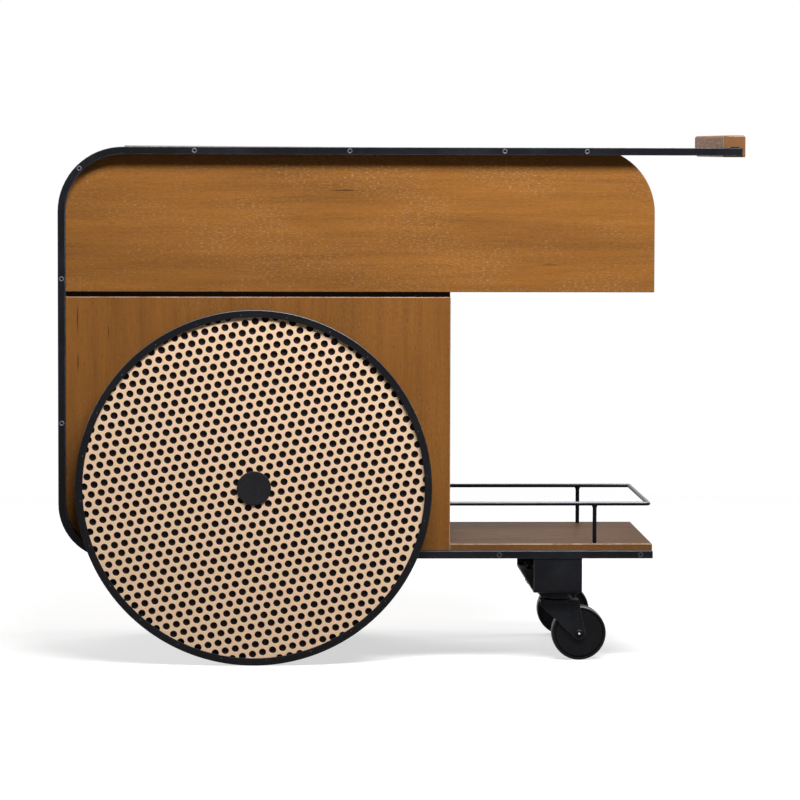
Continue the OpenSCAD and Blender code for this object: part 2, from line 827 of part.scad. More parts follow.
module wheel_face(back) {
  color(PALE_WOOD) on_back(back) upright(face_in_y, face_out_y) translate([wheel_x, wheel_r]) difference() {
    circle(disc_r, $fn = 180);
    circle(barrel_d / 2 + fit_gap);
    for (place = hole_places()) translate(place) circle(d = hole_d, $fn = 16);
  }
}

module wheel_hub(back) {
  color(FRAME_BLACK) on_back(back) turned(wheel_x, wheel_r) {
    translate([bearing_d / 2 + fit_gap, wheel_in_y])
      square([(barrel_d - bearing_d) / 2 - fit_gap, barrel_out_y - wheel_in_y]);
    translate([bearing_d / 2 + fit_gap, wheel_in_y])
      square([(hub_flange_d - bearing_d) / 2 - fit_gap, rim_lip_t]);
  }
}

module wheel_bearings(back) {
  inner_r = axle_d / 2 + fit_gap;
  ring_t = (bearing_d / 2 - inner_r) / 3;
  color(STEEL) on_back(back) for (y = bearing_ys)
    turned(wheel_x, wheel_r) translate([inner_r, y])
      difference() {
        square([bearing_d / 2 - inner_r, bearing_w]);
        translate([ring_t, -cut]) square([ring_t, cut + bearing_groove]);
        translate([ring_t, bearing_w - bearing_groove]) square([ring_t, cut + bearing_groove]);
      }
}

module wheel_cap(back) {
  spigot_r = barrel_d / 2 - fit_gap;
  color(FRAME_BLACK) on_back(back) turned(wheel_x, wheel_r) {
    translate([0, face_out_y]) panel(cap_d / 2, cap_t, [0, 0, cap_edge_r, 0]);
    translate([spigot_r - cap_t / 2, barrel_out_y + fit_gap])
      square([cap_t / 2, face_out_y - barrel_out_y + cap_t / 2]);
  }
}

// Caster bracket

module caster_bracket() {
  height = frame_z - bracket_z;
  outer_r = bracket_bend_r + bracket_t;
  color(FRAME_BLACK) difference() {
    translate([bracket_x, 0, bracket_z]) rotate([90, 0, 90]) linear_extrude(bracket_w)
      translate([-bracket_y, 0]) difference() {
        panel(2 * bracket_y, height, [outer_r, outer_r, 0, 0]);
        translate([bracket_t, bracket_t])
          panel(2 * (bracket_y - bracket_t), height, [bracket_bend_r, bracket_bend_r, 0, 0]);
      }
    for (back = [false, true]) on_back(back) at_plate_bolts()
      translate([0, 0, -cut]) cylinder(d = plate_bolt_d + 2 * fit_gap, h = bracket_t + 2 * cut);
  }
}

// Puts its children at a caster plate's bolts, on the plate's upper face
module at_plate_bolts() {
  for (dx = [-1, 1], dy = [-1, 1])
    translate([swivel_x + dx * plate_bolt_at, -caster_y + dy * plate_bolt_at, bracket_z]) children();
}

module caster_bolts() {
  color(FRAME_BLACK) for (back = [false, true]) on_back(back) at_plate_bolts() {
    translate([0, 0, -plate_t - plate_bolt_head_h]) cylinder(d = plate_bolt_head_d, h = plate_bolt_head_h);
    translate([0, 0, -plate_t - plate_bolt_head_h / 2])
      cylinder(d = plate_bolt_d,
        h = plate_t + bracket_t + plate_nut_h + plate_bolt_head_h / 2 + plate_bolt_end);
    translate([0, 0, bracket_t]) cylinder(d = plate_nut_d, h = plate_nut_h, $fn = 6);
  }
}

// Casters

module caster_plate(back) {
  color(FRAME_BLACK) on_back(back) difference() {
    translate([swivel_x - plate_w / 2, -caster_y - plate_w / 2, plate_z]) linear_extrude(plate_t)
      panel(plate_w, plate_w, [plate_corner_r, plate_corner_r, plate_corner_r, plate_corner_r]);
    translate([swivel_x, -caster_y, plate_z - cut])
      cylinder(d = kingpin_d + 2 * fit_gap, h = plate_t + 2 * cut);
    at_plate_bolts() translate([0, 0, -plate_t - cut])
      cylinder(d = plate_bolt_d + 2 * fit_gap, h = plate_t + 2 * cut);
  }
}

module caster_race(back) {
  inner_r = kingpin_d / 2 + fit_gap;
  color(FRAME_BLACK) on_back(back) translate([swivel_x, -caster_y, race_z]) rotate_extrude()
    polygon([
      [inner_r, 0], [race_d / 2 - race_bevel, 0], [race_d / 2, race_bevel],
      [race_d / 2, race_h], [inner_r, race_h]
    ]);
}

module caster_kingpin(back) {
  nut_z = crown_z - run_gap - kingpin_nut_h;
  color(STEEL) on_back(back) translate([swivel_x, -caster_y, 0]) {
    translate([0, 0, nut_z]) cylinder(d = kingpin_d, h = plate_z + plate_t - nut_z);
    translate([0, 0, nut_z]) cylinder(d = kingpin_nut_d, h = kingpin_nut_h, $fn = 6);
  }
}

// Where a straight edge from a point touches a circle of radius r round the origin
function touch_point(point, r, turn) = let (
  angle = atan2(point.y, point.x) + turn * acos(r / norm(point))
) r * [cos(angle), sin(angle)];

// A fork leg in X and Z, with the caster's axle at the origin
module leg_outline() {
  top = crown_z + crown_t - caster_r;
  front = [-caster_trail - fork_front, top - leg_front_h];
  rear = [fork_rear - caster_trail, top];
  inner_r = leg_end_r - tuck;
  polygon([
    [0, 0], touch_point(rear, inner_r, -1), rear, [front.x, top], front, touch_point(front, inner_r, 1)
  ]);
  circle(leg_end_r);
}

module caster_fork(back) {
  color(FRAME_BLACK) on_back(back) difference() {
    union() {
      for (side = [-1, 1]) translate([0, -side * (leg_in + leg_t / 2), 0])
        upright(caster_y - leg_t / 2, caster_y + leg_t / 2)
          translate([caster_axle_x, caster_r]) leg_outline();
      translate([swivel_x, -caster_y, crown_z]) linear_extrude(crown_t) {
        circle(d = race_d);
        translate([-fork_front, -leg_out]) square([fork_front + fork_rear, 2 * leg_out]);
      }
    }
    translate([swivel_x, -caster_y, crown_z - cut])
      cylinder(d = kingpin_d + 2 * fit_gap, h = crown_t + 2 * cut);
    cross_bar(caster_axle_x, caster_r, caster_y - leg_out - cut, caster_y + leg_out + cut,
      caster_axle_d + 2 * fit_gap);
  }
}

module caster_axle(back) {
  color(FRAME_BLACK) on_back(back) {
    cross_bar(caster_axle_x, caster_r, caster_y - leg_out - caster_axle_head_h,
      caster_y + leg_out + caster_axle_head_h / 2, caster_axle_d);
    cross_bar(caster_axle_x, caster_r, caster_y - leg_out - caster_axle_head_h, caster_y - leg_out,
      caster_axle_head_d, $fn = 6);
    cross_bar(caster_axle_x, caster_r, caster_y + leg_out, caster_y + leg_out + caster_axle_head_h,
      caster_axle_head_d);
  }
}

// Half of a caster wheel's section on either side of its middle, as radius and distance
module caster_core(back) {
  core_r = caster_r - tread_t;
  bore_r = caster_axle_d / 2 + fit_gap;
  web = caster_w - 2 * web_inset;
  color(FRAME_BLACK) on_back(back) turned(caster_axle_x, caster_r) translate([0, caster_y]) difference() {
    union() {
      translate([bore_r, -caster_w / 2]) square([caster_hub_d / 2 - bore_r, caster_w]);
      translate([bore_r, -web / 2]) square([core_r - bore_r, web]);
    }
    for (side = [0, 1]) mirror([0, side]) translate([core_r - tread_groove, web / 2 - tread_groove_h])
      square([tread_groove + cut, tread_groove_h + cut]);
  }
}

module caster_tread(back) {
  color(RUBBER) on_back(back) turned(caster_axle_x, caster_r)
    translate([caster_r - tread_t, caster_y - caster_w / 2])
      panel(tread_t, caster_w, [0, tread_edge_r, tread_edge_r, 0]);
}

side_frame(false);  // side_frame_front
side_frame(true);  // side_frame_back
frame_screws();
upper_side(false);  // upper_side_front
upper_side(true);  // upper_side_back
upper_end_left();
upper_end_right();
upper_bottom();
upper_divider();
centre_rail();
case_spacer();
lid_left_board();
lid_left_plate();
lid_right_board();
lid_pins();
lid_bumpers();
lower_side(false);  // lower_side_front
lower_side(true);  // lower_side_back
lower_end();
lower_top();
base_board();
gallery_rail();
handle();
handle_screws();
caster_bracket();
caster_bolts();
axle(false);  // axle_front
axle(true);  // axle_back
axle_bolts();
axle_clips();
wheel_tyre(false);  // wheel_front_tyre
wheel_rim(false);  // wheel_front_rim
wheel_core(false);  // wheel_front_core
wheel_face(false);  // wheel_front_face
wheel_hub(false);  // wheel_front_hub
wheel_bearings(false);  // wheel_front_bearings
wheel_cap(false);  // wheel_front_cap
wheel_tyre(true);  // wheel_back_tyre
wheel_rim(true);  // wheel_back_rim
wheel_core(true);  // wheel_back_core
wheel_face(true);  // wheel_back_face
wheel_hub(true);  // wheel_back_hub
wheel_bearings(true);  // wheel_back_bearings
wheel_cap(true);  // wheel_back_cap
caster_plate(false);  // caster_front_plate
caster_race(false);  // caster_front_race
caster_kingpin(false);  // caster_front_kingpin
caster_fork(false);  // caster_front_fork
caster_axle(false);  // caster_front_axle
caster_core(false);  // caster_front_core
caster_tread(false);  // caster_front_tread
caster_plate(true);  // caster_back_plate
caster_race(true);  // caster_back_race
caster_kingpin(true);  // caster_back_kingpin
caster_fork(true);  // caster_back_fork
caster_axle(true);  // caster_back_axle
caster_core(true);  // caster_back_core
caster_tread(true);  // caster_back_tread
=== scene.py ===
"""Bar cart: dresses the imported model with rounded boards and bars, turned wheels, small fasteners and finishes."""

import logging
import math
from abc import ABC, abstractmethod
from collections.abc import Iterable, Mapping, Sequence
from dataclasses import dataclass, field
from enum import Enum
from functools import cache

import bmesh
import bpy
from mathutils import Color, Euler, Matrix, Vector


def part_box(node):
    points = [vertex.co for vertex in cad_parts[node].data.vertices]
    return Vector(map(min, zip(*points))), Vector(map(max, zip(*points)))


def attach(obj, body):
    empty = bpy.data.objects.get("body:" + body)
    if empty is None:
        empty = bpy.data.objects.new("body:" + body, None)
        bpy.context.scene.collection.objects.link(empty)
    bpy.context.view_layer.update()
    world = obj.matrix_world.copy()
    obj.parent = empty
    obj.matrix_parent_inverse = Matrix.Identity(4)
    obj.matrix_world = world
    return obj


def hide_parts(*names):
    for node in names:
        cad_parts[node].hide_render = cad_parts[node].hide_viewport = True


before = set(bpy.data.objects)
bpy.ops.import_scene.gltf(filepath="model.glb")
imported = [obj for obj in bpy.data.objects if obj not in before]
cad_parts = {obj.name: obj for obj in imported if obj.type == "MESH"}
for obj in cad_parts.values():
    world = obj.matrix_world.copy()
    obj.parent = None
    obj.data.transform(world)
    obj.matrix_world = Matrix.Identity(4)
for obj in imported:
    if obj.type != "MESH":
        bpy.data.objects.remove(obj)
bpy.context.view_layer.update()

LOG = logging.getLogger("bar_cart")
MM = 0.001
WELD = 1e-5  # metres between corners that are one corner
FLAT = math.radians(0.2)  # angle up to which two faces are one face
CREASE = math.radians(32.0)  # angle from which an edge is rounded
CRISP, SOFT, ROUND = 35.0, 50.0, 60.0  # angles in degrees from which an edge looks sharp
ARRIS = "arris"  # the face layer that marks the rounded edges
UP = Vector((0, 0, 1))
WHITE = (1.0, 1.0, 1.0, 1.0)

Piece = bpy.types.Object
Shape = bmesh.types.BMesh
Tree = bpy.types.ShaderNodeTree
Node = bpy.types.Node
Socket = bpy.types.NodeSocket
Outputs = bpy.types.NodeOutputs
Colour = tuple[float, float, float, float]
Triple = tuple[float, float, float]
Span = tuple[float, float]
Ring = tuple[float, float]  # radius and depth, in millimetres
Place = tuple[Vector, Vector]  # a point, and the direction of an axis
Box = tuple[Vector, Vector]  # the lowest and the highest corner


def shade(red: int, green: int, blue: int) -> Colour:
    """Turns a display colour, 0 to 255, into the opaque linear one that shaders use."""
    return (*Color((red / 255, green / 255, blue / 255)).from_srgb_to_scene_linear(), 1.0)


class Side(Enum):
    """The two sides of the cart. The value is the sign of Y."""

    FRONT = -1
    BACK = 1

    @property
    def word(self) -> str:
        """The side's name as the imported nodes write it."""
        return self.name.lower()

    @property
    def outward(self) -> Vector:
        """The direction away from the cart's middle plane."""
        return Vector((0, self.value, 0))


class Grain(Enum):
    """Which way a board's grain runs, as the turn that lays it along X."""

    ALONG = (0.0, 0.0, 0.0)
    UPRIGHT = (0.0, math.pi / 2, 0.0)
    ACROSS = (0.0, 0.0, math.pi / 2)


# Shader wiring


@dataclass(frozen=True)
class Texture:
    """A noise, by its waves in a metre along X, Y and Z, and the values that bound its mask."""

    waves: Triple
    detail: float = 2.0
    rough: float = 0.5
    low: float = 0.0
    high: float = 1.0
    least: float = 0.0


class Wiring:
    """Places nodes in one shader tree and joins their sockets."""

    def __init__(self, tree: bpy.types.NodeTree) -> None:
        """Empties the tree of a material, a world or a group, and keeps it."""
        self.tree = tree
        tree.nodes.clear()

    def put(self, kind: str, sockets: Mapping[str | int, object] | None = None, **settings: object) -> Node:
        """Adds one node.

        Args:
            kind: The node's type.
            sockets: For each input, a value or the output socket that feeds it.
            **settings: The node's own settings, set first.

        Returns:
            The node.
        """
        node = self.tree.nodes.new(kind)
        for name, value in settings.items():
            setattr(node, name, value)
        for key, value in (sockets or {}).items():
            if isinstance(value, Socket):
                self.tree.links.new(value, node.inputs[key])
            else:
                node.inputs[key].default_value = value
        return node

    def sum(self, kind: str, *values: object) -> Socket:
        """Adds a math node for an operation and its operands, and returns its socket."""
        return self.put("ShaderNodeMath", dict(enumerate(values)), operation=kind).outputs[0]

    def vector(self, kind: str, *values: object) -> Outputs:
        """Adds a vector math node for an operation and its operands, and returns its outputs."""
        return self.put("ShaderNodeVectorMath", dict(enumerate(values)), operation=kind).outputs

    def noise(self, vector: object, texture: Texture) -> Socket:
        """Adds a texture's noise.

        Args:
            vector: The coordinates' socket, in metres.
            texture: The texture.

        Returns:
            The noise's value, about 0.5 on average.
        """
        scaled = self.vector("MULTIPLY", vector, texture.waves)[0]
        sockets = {"Vector": scaled, "Scale": 1.0, "Detail": texture.detail, "Roughness": texture.rough}
        return self.put("ShaderNodeTexNoise", sockets).outputs[0]

    def mask(self, vector: object, texture: Texture) -> Socket:
        """Adds a texture's mask, from its least value to 1, and returns its socket."""
        return self.span(self.noise(vector, texture), texture.low, texture.high, texture.least, 1.0)

    def span(self, value: object, low: float, high: float, to_low: float = 0.0, to_high: float = 1.0) -> Socket:
        """Maps a range of values to another, held at its ends, and returns the socket."""
        sockets = {"Value": value, "From Min": low, "From Max": high, "To Min": to_low, "To Max": to_high}
        return self.put("ShaderNodeMapRange", sockets, clamp=True).outputs[0]

    def axis(self, vector: Socket, name: str) -> Socket:
        """Adds a split of a vector, and returns the socket of the named axis."""
        return self.put("ShaderNodeSeparateXYZ", {0: vector}).outputs[name]

    def upward(self) -> Socket:
        """Adds how far a face looks upwards, from -1 to 1, and returns its socket."""
        return self.axis(self.put("ShaderNodeNewGeometry").outputs["Normal"], "Z")

    def blend(self, share: object, under: object, over: object) -> Socket:
        """Mixes a share of an upper colour over a lower one, and returns the socket."""
        return self.put("ShaderNodeMix", {0: share, 6: under, 7: over}, data_type="RGBA").outputs[2]

    def bump(self, height: Socket, strength: float, distance: float) -> Socket:
        """Adds a bump map as deep as the distance, in metres, and returns the bent normal."""
        return self.put("ShaderNodeBump", {"Height": height, "Strength": strength, "Distance": distance}).outputs[0]

    def effect(self, tree: Tree, sockets: Mapping[str, object]) -> Outputs:
        """Adds a shared effect with its inputs, and returns its outputs."""
        return self.put("ShaderNodeGroup", sockets, node_tree=tree).outputs


class Effect:
    """Shader groups that several finishes share, each built once."""

    # Wood grain
    BROAD = Texture((2.2, 16, 16))
    BANDS = Texture((3.5, 75, 75), 3.0, 0.6)
    FIBRES = Texture((22, 520, 520), 3.0, 0.65)
    BROAD_SHARE, BAND_SHARE, FIBRE_SHARE = 0.4, 0.35, 0.25
    FIGURE = (0.36, 0.64)
    FLECKS = Texture((170, 700, 700), low=0.52, high=0.68)
    PATCHES = Texture((9, 14, 14), 1.0, low=0.38, high=0.64, least=0.3)
    PORES = Texture((70, 900, 900), 1.0, low=0.61, high=0.7)
    PORE_SHIFT = (3.1, 1.7, 5.3)
    FLECK_PALE = (0.62, 0.42, 0.24, 1.0)
    PORE_DARK = (0.035, 0.014, 0.006, 1.0)
    UNSET = (0.2, 0.07, 0.02, 1.0)
    # Streaks, scuffed arrises that are partly a painted highlight, and dust
    FRAYS = Texture((300, 300, 300))
    FRAY_DEPTH = 0.7
    STREAK_EDGE = (0.7, 1.4)
    CHIPS = Texture((60, 60, 60), 3.0, 0.7, 0.35, 0.6, least=0.35)
    SPECKS = Texture((620, 620, 620), 1.0, low=0.68, high=0.74)
    CLOUDS = Texture((11, 11, 11), 3.0, 0.6, 0.45, 0.7)

    @staticmethod
    def start(name: str, inputs: Mapping[str, object], outputs: Mapping[str, str]) -> tuple[Wiring, Outputs]:
        """Starts a group.

        Args:
            name: The group's name.
            inputs: The inputs' names with their default values; None stands for coordinates.
            outputs: The outputs' names with their socket types.

        Returns:
            The group's wiring and the sockets of its inputs.
        """
        tree = bpy.data.node_groups.new(name, "ShaderNodeTree")
        wiring = Wiring(tree)
        for label, value in inputs.items():
            kind = {type(None): "Vector", float: "Float", tuple: "Color"}[type(value)]
            socket = tree.interface.new_socket(name=label, in_out="INPUT", socket_type=f"NodeSocket{kind}")
            if value is not None:
                socket.default_value = value
        for label, kind in outputs.items():
            tree.interface.new_socket(name=label, in_out="OUTPUT", socket_type=f"NodeSocket{kind}")
        return wiring, wiring.put("NodeGroupInput").outputs

    @staticmethod
    @cache
    def grain() -> Tree:
        """Wood grain along X: bands, fibres, dark pores and pale flecks.

        Returns:
            The group, which puts out a colour and a height.
        """
        inputs = {"Vector": None, "Pale": Effect.UNSET, "Dark": Effect.UNSET, "Flecks": 0.3, "Pores": 0.3}
        w, given = Effect.start("wood_grain", inputs, {"Colour": "Color", "Height": "Float"})
        vector = given["Vector"]
        broad = w.sum("MULTIPLY", w.noise(vector, Effect.BROAD), Effect.BROAD_SHARE)
        bands = w.sum("MULTIPLY", w.noise(vector, Effect.BANDS), Effect.BAND_SHARE)
        fibres = w.noise(vector, Effect.FIBRES)
        figure = w.sum("ADD", w.sum("ADD", broad, bands), w.sum("MULTIPLY", fibres, Effect.FIBRE_SHARE))
        colour = w.blend(w.span(figure, *Effect.FIGURE), given["Dark"], given["Pale"])
        flecks = w.sum("MULTIPLY", w.mask(vector, Effect.FLECKS), w.mask(vector, Effect.PATCHES))
        flecks = w.sum("MULTIPLY", flecks, given["Flecks"])
        shifted = w.vector("ADD", vector, Effect.PORE_SHIFT)[0]
        pores = w.sum("MULTIPLY", w.mask(shifted, Effect.PORES), given["Pores"])
        colour = w.blend(pores, w.blend(flecks, colour, Effect.FLECK_PALE), Effect.PORE_DARK)
        w.put("NodeGroupOutput", {"Colour": colour, "Height": w.sum("SUBTRACT", fibres, pores)})
        return w.tree

    @staticmethod
    @cache
    def streak() -> Tree:
        """One narrow dark mineral streak, as an ellipse with a frayed edge.

        Returns:
            The group, which puts out a mask.
        """
        w, given = Effect.start("dark_streak", {"Vector": None, "Centre": None, "Stretch": None}, {"Mask": "Float"})
        away = w.vector("SUBTRACT", given["Vector"], given["Centre"])[0]
        scaled = w.vector("MULTIPLY", away, given["Stretch"])[0]
        frays = w.sum("MULTIPLY", w.noise(given["Vector"], Effect.FRAYS), Effect.FRAY_DEPTH)
        reach = w.sum("ADD", w.vector("LENGTH", scaled)["Value"], frays)
        w.put("NodeGroupOutput", {"Mask": w.span(reach, *Effect.STREAK_EDGE, 1.0, 0.0)})
        return w.tree

    @staticmethod
    @cache
    def wear() -> Tree:
        """Paler arrises, broken up by noise: scuffing, and on the frame, lower case and shelf also a painted
        highlight.

        Returns:
            The group, which puts out a mask.
        """
        w, given = Effect.start("edge_wear", {"Vector": None, "Arris": 0.0, "Amount": 0.5}, {"Mask": "Float"})
        broken = w.sum("MULTIPLY", given["Arris"], w.mask(given["Vector"], Effect.CHIPS))
        rubbed = w.sum("MULTIPLY", broken, given["Amount"])
        w.put("NodeGroupOutput", {"Mask": rubbed})
        return w.tree

    @staticmethod
    @cache
    def dust() -> Tree:
        """Fine pale specks and faint clouds of dust.

        Returns:
            The group, which puts out a mask of both.
        """
        w, given = Effect.start("fine_dust", {"Vector": None, "Specks": 0.3, "Clouds": 0.1}, {"Mask": "Float"})
        specks = w.sum("MULTIPLY", w.mask(given["Vector"], Effect.SPECKS), given["Specks"])
        clouds = w.sum("MULTIPLY", w.mask(given["Vector"], Effect.CLOUDS), given["Clouds"])
        both = w.sum("ADD", specks, clouds)
        w.put("NodeGroupOutput", {"Mask": w.sum("MINIMUM", both, 1.0)})
        return w.tree


# Finishes


@dataclass(frozen=True)
class Finish(ABC):
    """A surface whose material is made when a piece first wears it."""

    name: str

    @abstractmethod
    def sockets(self, w: Wiring) -> dict[str, object]:
        """Wires up the finish.

        Args:
            w: The material's wiring.

        Returns:
            What feeds each socket of the shader.
        """

    @cache
    def material(self) -> bpy.types.Material:
        """Makes the material.

        Returns:
            The material, the same one each time.
        """
        made = bpy.data.materials.new(self.name)
        made.use_nodes = True
        w = Wiring(made.node_tree)
        shader = w.put("ShaderNodeBsdfPrincipled", self.sockets(w))
        w.put("ShaderNodeOutputMaterial", {"Surface": shader.outputs[0]})
        return made

    def rubbed(self, w: Wiring, place: Socket, amount: float) -> Socket:
        """Adds the mask of the paler arrises, scuffed and on some finishes painted as a highlight, scaled by an
        amount, and returns its socket.
        """
        arris = w.put("ShaderNodeAttribute", attribute_name=ARRIS).outputs["Fac"]
        return w.effect(Effect.wear(), {"Vector": place, "Arris": arris, "Amount": amount})["Mask"]


@dataclass(frozen=True)
class Streak:
    """A dark streak in a veneer: its centre and its half sizes, in millimetres, in X and Z."""

    x: float
    z: float
    half_x: float
    half_z: float


@dataclass(frozen=True)
class Veneer(Finish):
    """Oiled wood whose grain runs one way."""

    pale: Colour
    dark: Colour
    grain: Grain
    roughness: float = 0.5
    shine: float = 0.1
    rim_shine: float = 0.0
    flecks: float = 0.25
    pores: float = 0.3
    worn: Colour = shade(176, 128, 84)
    wear: float = 0.45
    mottle: float = 0.0
    # share of painted shade on upward faces, standing in for the shade under the case above
    top_dark: float = 0.0
    relief: float = 0.25
    streaks: tuple[Streak, ...] = ()

    DEPTH = 0.0004
    HEIGHTS = (0.3, 0.7)
    UNEVEN = 0.08
    EDGE_ON = (0.6, 0.86)
    LEVEL = (0.8, 0.95)
    MOTTLES = Texture((120, 120, 120), 3.0, 0.6, 0.38, 0.62)
    ROSY = shade(255, 212, 190)
    SALLOW = shade(246, 212, 160)
    STREAK_DARK = (0.03, 0.014, 0.008, 1.0)
    STREAK_SHARE = 0.75
    TOP_DARK = (0.012, 0.008, 0.006, 1.0)

    def sockets(self, w: Wiring) -> dict[str, object]:
        """Wires grain, mottling, streaks, paler arrises (scuffing, on some boards also a painted highlight) and
        painted shade on upward faces, with less shine where the surface is seen edge on.

        Args:
            w: The material's wiring.

        Returns:
            What feeds each socket of the shader.
        """
        place = w.put("ShaderNodeTexCoord").outputs["Object"]
        laid = w.put("ShaderNodeMapping", {"Vector": place, "Rotation": self.grain.value}).outputs[0]
        wood = w.effect(Effect.grain(), {
            "Vector": laid, "Pale": self.pale, "Dark": self.dark, "Flecks": self.flecks, "Pores": self.pores,
        })
        colour, height = wood["Colour"], wood["Height"]
        if self.mottle:
            tint = w.blend(w.mask(place, self.MOTTLES), self.ROSY, self.SALLOW)
            colour = w.blend(self.mottle, colour, tint)
        for streak in self.streaks:
            stretch = (1 / (streak.half_x * MM), 0.0, 1 / (streak.half_z * MM))
            centre = (streak.x * MM, 0.0, streak.z * MM)
            mask = w.effect(Effect.streak(), {"Vector": place, "Centre": centre, "Stretch": stretch})["Mask"]
            colour = w.blend(w.sum("MULTIPLY", mask, self.STREAK_SHARE), colour, self.STREAK_DARK)
        # Painted shade: upward faces darken towards a near-black, standing in for the shade that the upper case
        # casts on the shelf below it.
        if self.top_dark:
            level = w.span(w.upward(), *self.LEVEL, 0.0, self.top_dark)
            colour = w.blend(level, colour, self.TOP_DARK)
        facing = w.put("ShaderNodeLayerWeight", {"Blend": 0.5}).outputs["Facing"]
        return {
            "Base Color": w.blend(self.rubbed(w, place, self.wear), colour, self.worn),
            "Roughness": w.span(height, *self.HEIGHTS, self.roughness + self.UNEVEN, self.roughness - self.UNEVEN),
            "Normal": w.bump(height, self.relief, self.DEPTH),
            "Specular IOR Level": w.span(facing, *self.EDGE_ON, self.shine, self.rim_shine),
        }


@dataclass(frozen=True)
class Coating(Finish):
    """A dark coat or moulding: paint, rubber or plastic, paler where dusty and on scuffed arrises, which on the
    frame paint are also a painted highlight.
    """

    colour: Colour
    worn: Colour
    roughness: float
    shine: float = 0.08
    top_shine: float = 0.4
    crown_share: float = 1.0
    wear: float = 0.5
    specks: float = 0.25
    clouds: float = 0.08
    relief: float = 0.12

    DEPTH = 0.0003
    PEBBLES = Texture((900, 900, 900))
    UPWARD = (0.2, 0.8)
    LEANING = (0.05, 0.2)
    DUSTY = (0.0, 0.4)
    DUSTY_DULLER = 0.2

    def sockets(self, w: Wiring) -> dict[str, object]:
        """Wires scuffed arrises (also a painted highlight on the frame paint), dust and pebbling, with the top shine
        full on faces that also lean to the front or back.

        Args:
            w: The material's wiring.

        Returns:
            What feeds each socket of the shader.
        """
        own = w.put("ShaderNodeTexCoord").outputs
        place = own["Object"]
        rubbed = self.rubbed(w, place, self.wear)
        dusty = w.effect(Effect.dust(), {"Vector": place, "Specks": self.specks, "Clouds": self.clouds})["Mask"]
        across = w.sum("ABSOLUTE", w.axis(own["Normal"], "Y"))
        leaning = w.span(across, *self.LEANING, self.crown_share, 1.0)
        upper = w.sum("MULTIPLY", w.span(w.upward(), *self.UPWARD), leaning)
        return {
            "Base Color": w.blend(w.sum("MAXIMUM", rubbed, dusty), self.colour, self.worn),
            "Roughness": w.span(dusty, *self.DUSTY, self.roughness, self.roughness + self.DUSTY_DULLER),
            "Normal": w.bump(w.noise(place, self.PEBBLES), self.relief, self.DEPTH),
            "Specular IOR Level": w.span(upper, 0.0, 1.0, self.shine, self.top_shine),
        }


@dataclass(frozen=True)
class Metal(Finish):
    """Bare or plated steel with fine brushing."""

    bright: Colour
    dull: Colour
    roughness: float
    brushing: Texture = Texture((300, 300, 300), 3.0, 0.6)
    metallic: float = 1.0
    shine: float = 0.5

    DEPTH = 0.0002
    RELIEF = 0.08
    TONES = (0.35, 0.65)
    HEIGHTS = (0.3, 0.7)
    LOW_DULLER = 0.08
    HIGH_GLOSSIER = 0.05

    def sockets(self, w: Wiring) -> dict[str, object]:
        """Wires the brushing.

        Args:
            w: The material's wiring.

        Returns:
            What feeds each socket of the shader.
        """
        lines = w.noise(w.put("ShaderNodeTexCoord").outputs["Object"], self.brushing)
        ends = (self.roughness + self.LOW_DULLER, self.roughness - self.HIGH_GLOSSIER)
        return {
            "Base Color": w.blend(w.span(lines, *self.TONES), self.dull, self.bright),
            "Roughness": w.span(lines, *self.HEIGHTS, *ends),
            "Normal": w.bump(lines, self.RELIEF, self.DEPTH),
            "Metallic": self.metallic,
            "Specular IOR Level": self.shine,
        }


UPPER_STREAKS = (Streak(-92, 759, 26, 1.6), Streak(240, 640, 20, 0.9))
LOWER_STREAKS = (Streak(-519.5, 553, 1.3, 24), Streak(-519, 483, 1.5, 17), Streak(-470, 533, 0.9, 11))
UPPER_VENEER = Veneer(
    "upper_veneer", shade(160, 104, 45), shade(124, 80, 35), Grain.ALONG, flecks=0.36, streaks=UPPER_STREAKS,
)
# Painted highlight, partly: the pale grey arris colour stands for the light's reflection along the case's rounded
# top edge, as well as scuffing.
LOWER_VENEER = Veneer(
    "lower_veneer", shade(149, 97, 43), shade(122, 77, 35), Grain.UPRIGHT, flecks=0.14, streaks=LOWER_STREAKS,
    worn=shade(180, 158, 148), wear=0.8,
)
CROSS_VENEER = Veneer("cross_veneer", shade(152, 100, 46), shade(128, 82, 38), Grain.ACROSS)
# Painted highlight, partly: the pale arris colour stands for the light's reflection on the rounded front edge, as
# well as scuffing; the upper face also gets painted shade.
SHELF_VENEER = Veneer(
    "shelf_veneer", shade(126, 85, 46), shade(106, 70, 38), Grain.ALONG, rim_shine=0.02, flecks=0.1,
    worn=shade(190, 164, 142), wear=0.9, top_dark=0.58,
)
HANDLE_WOOD = Veneer(
    "polished_wood", shade(132, 87, 44), shade(110, 71, 34), Grain.ACROSS, roughness=0.26, shine=0.5,
    rim_shine=0.004, flecks=0.05, pores=0.1, worn=shade(150, 104, 66), wear=0.2, relief=0.04,
)
PALE_PLY = Veneer(
    "pale_ply", shade(254, 226, 196), shade(247, 214, 181), Grain.ALONG, roughness=0.6, flecks=0.0, pores=0.06,
    worn=shade(232, 200, 168), wear=0.2, mottle=0.65,
)
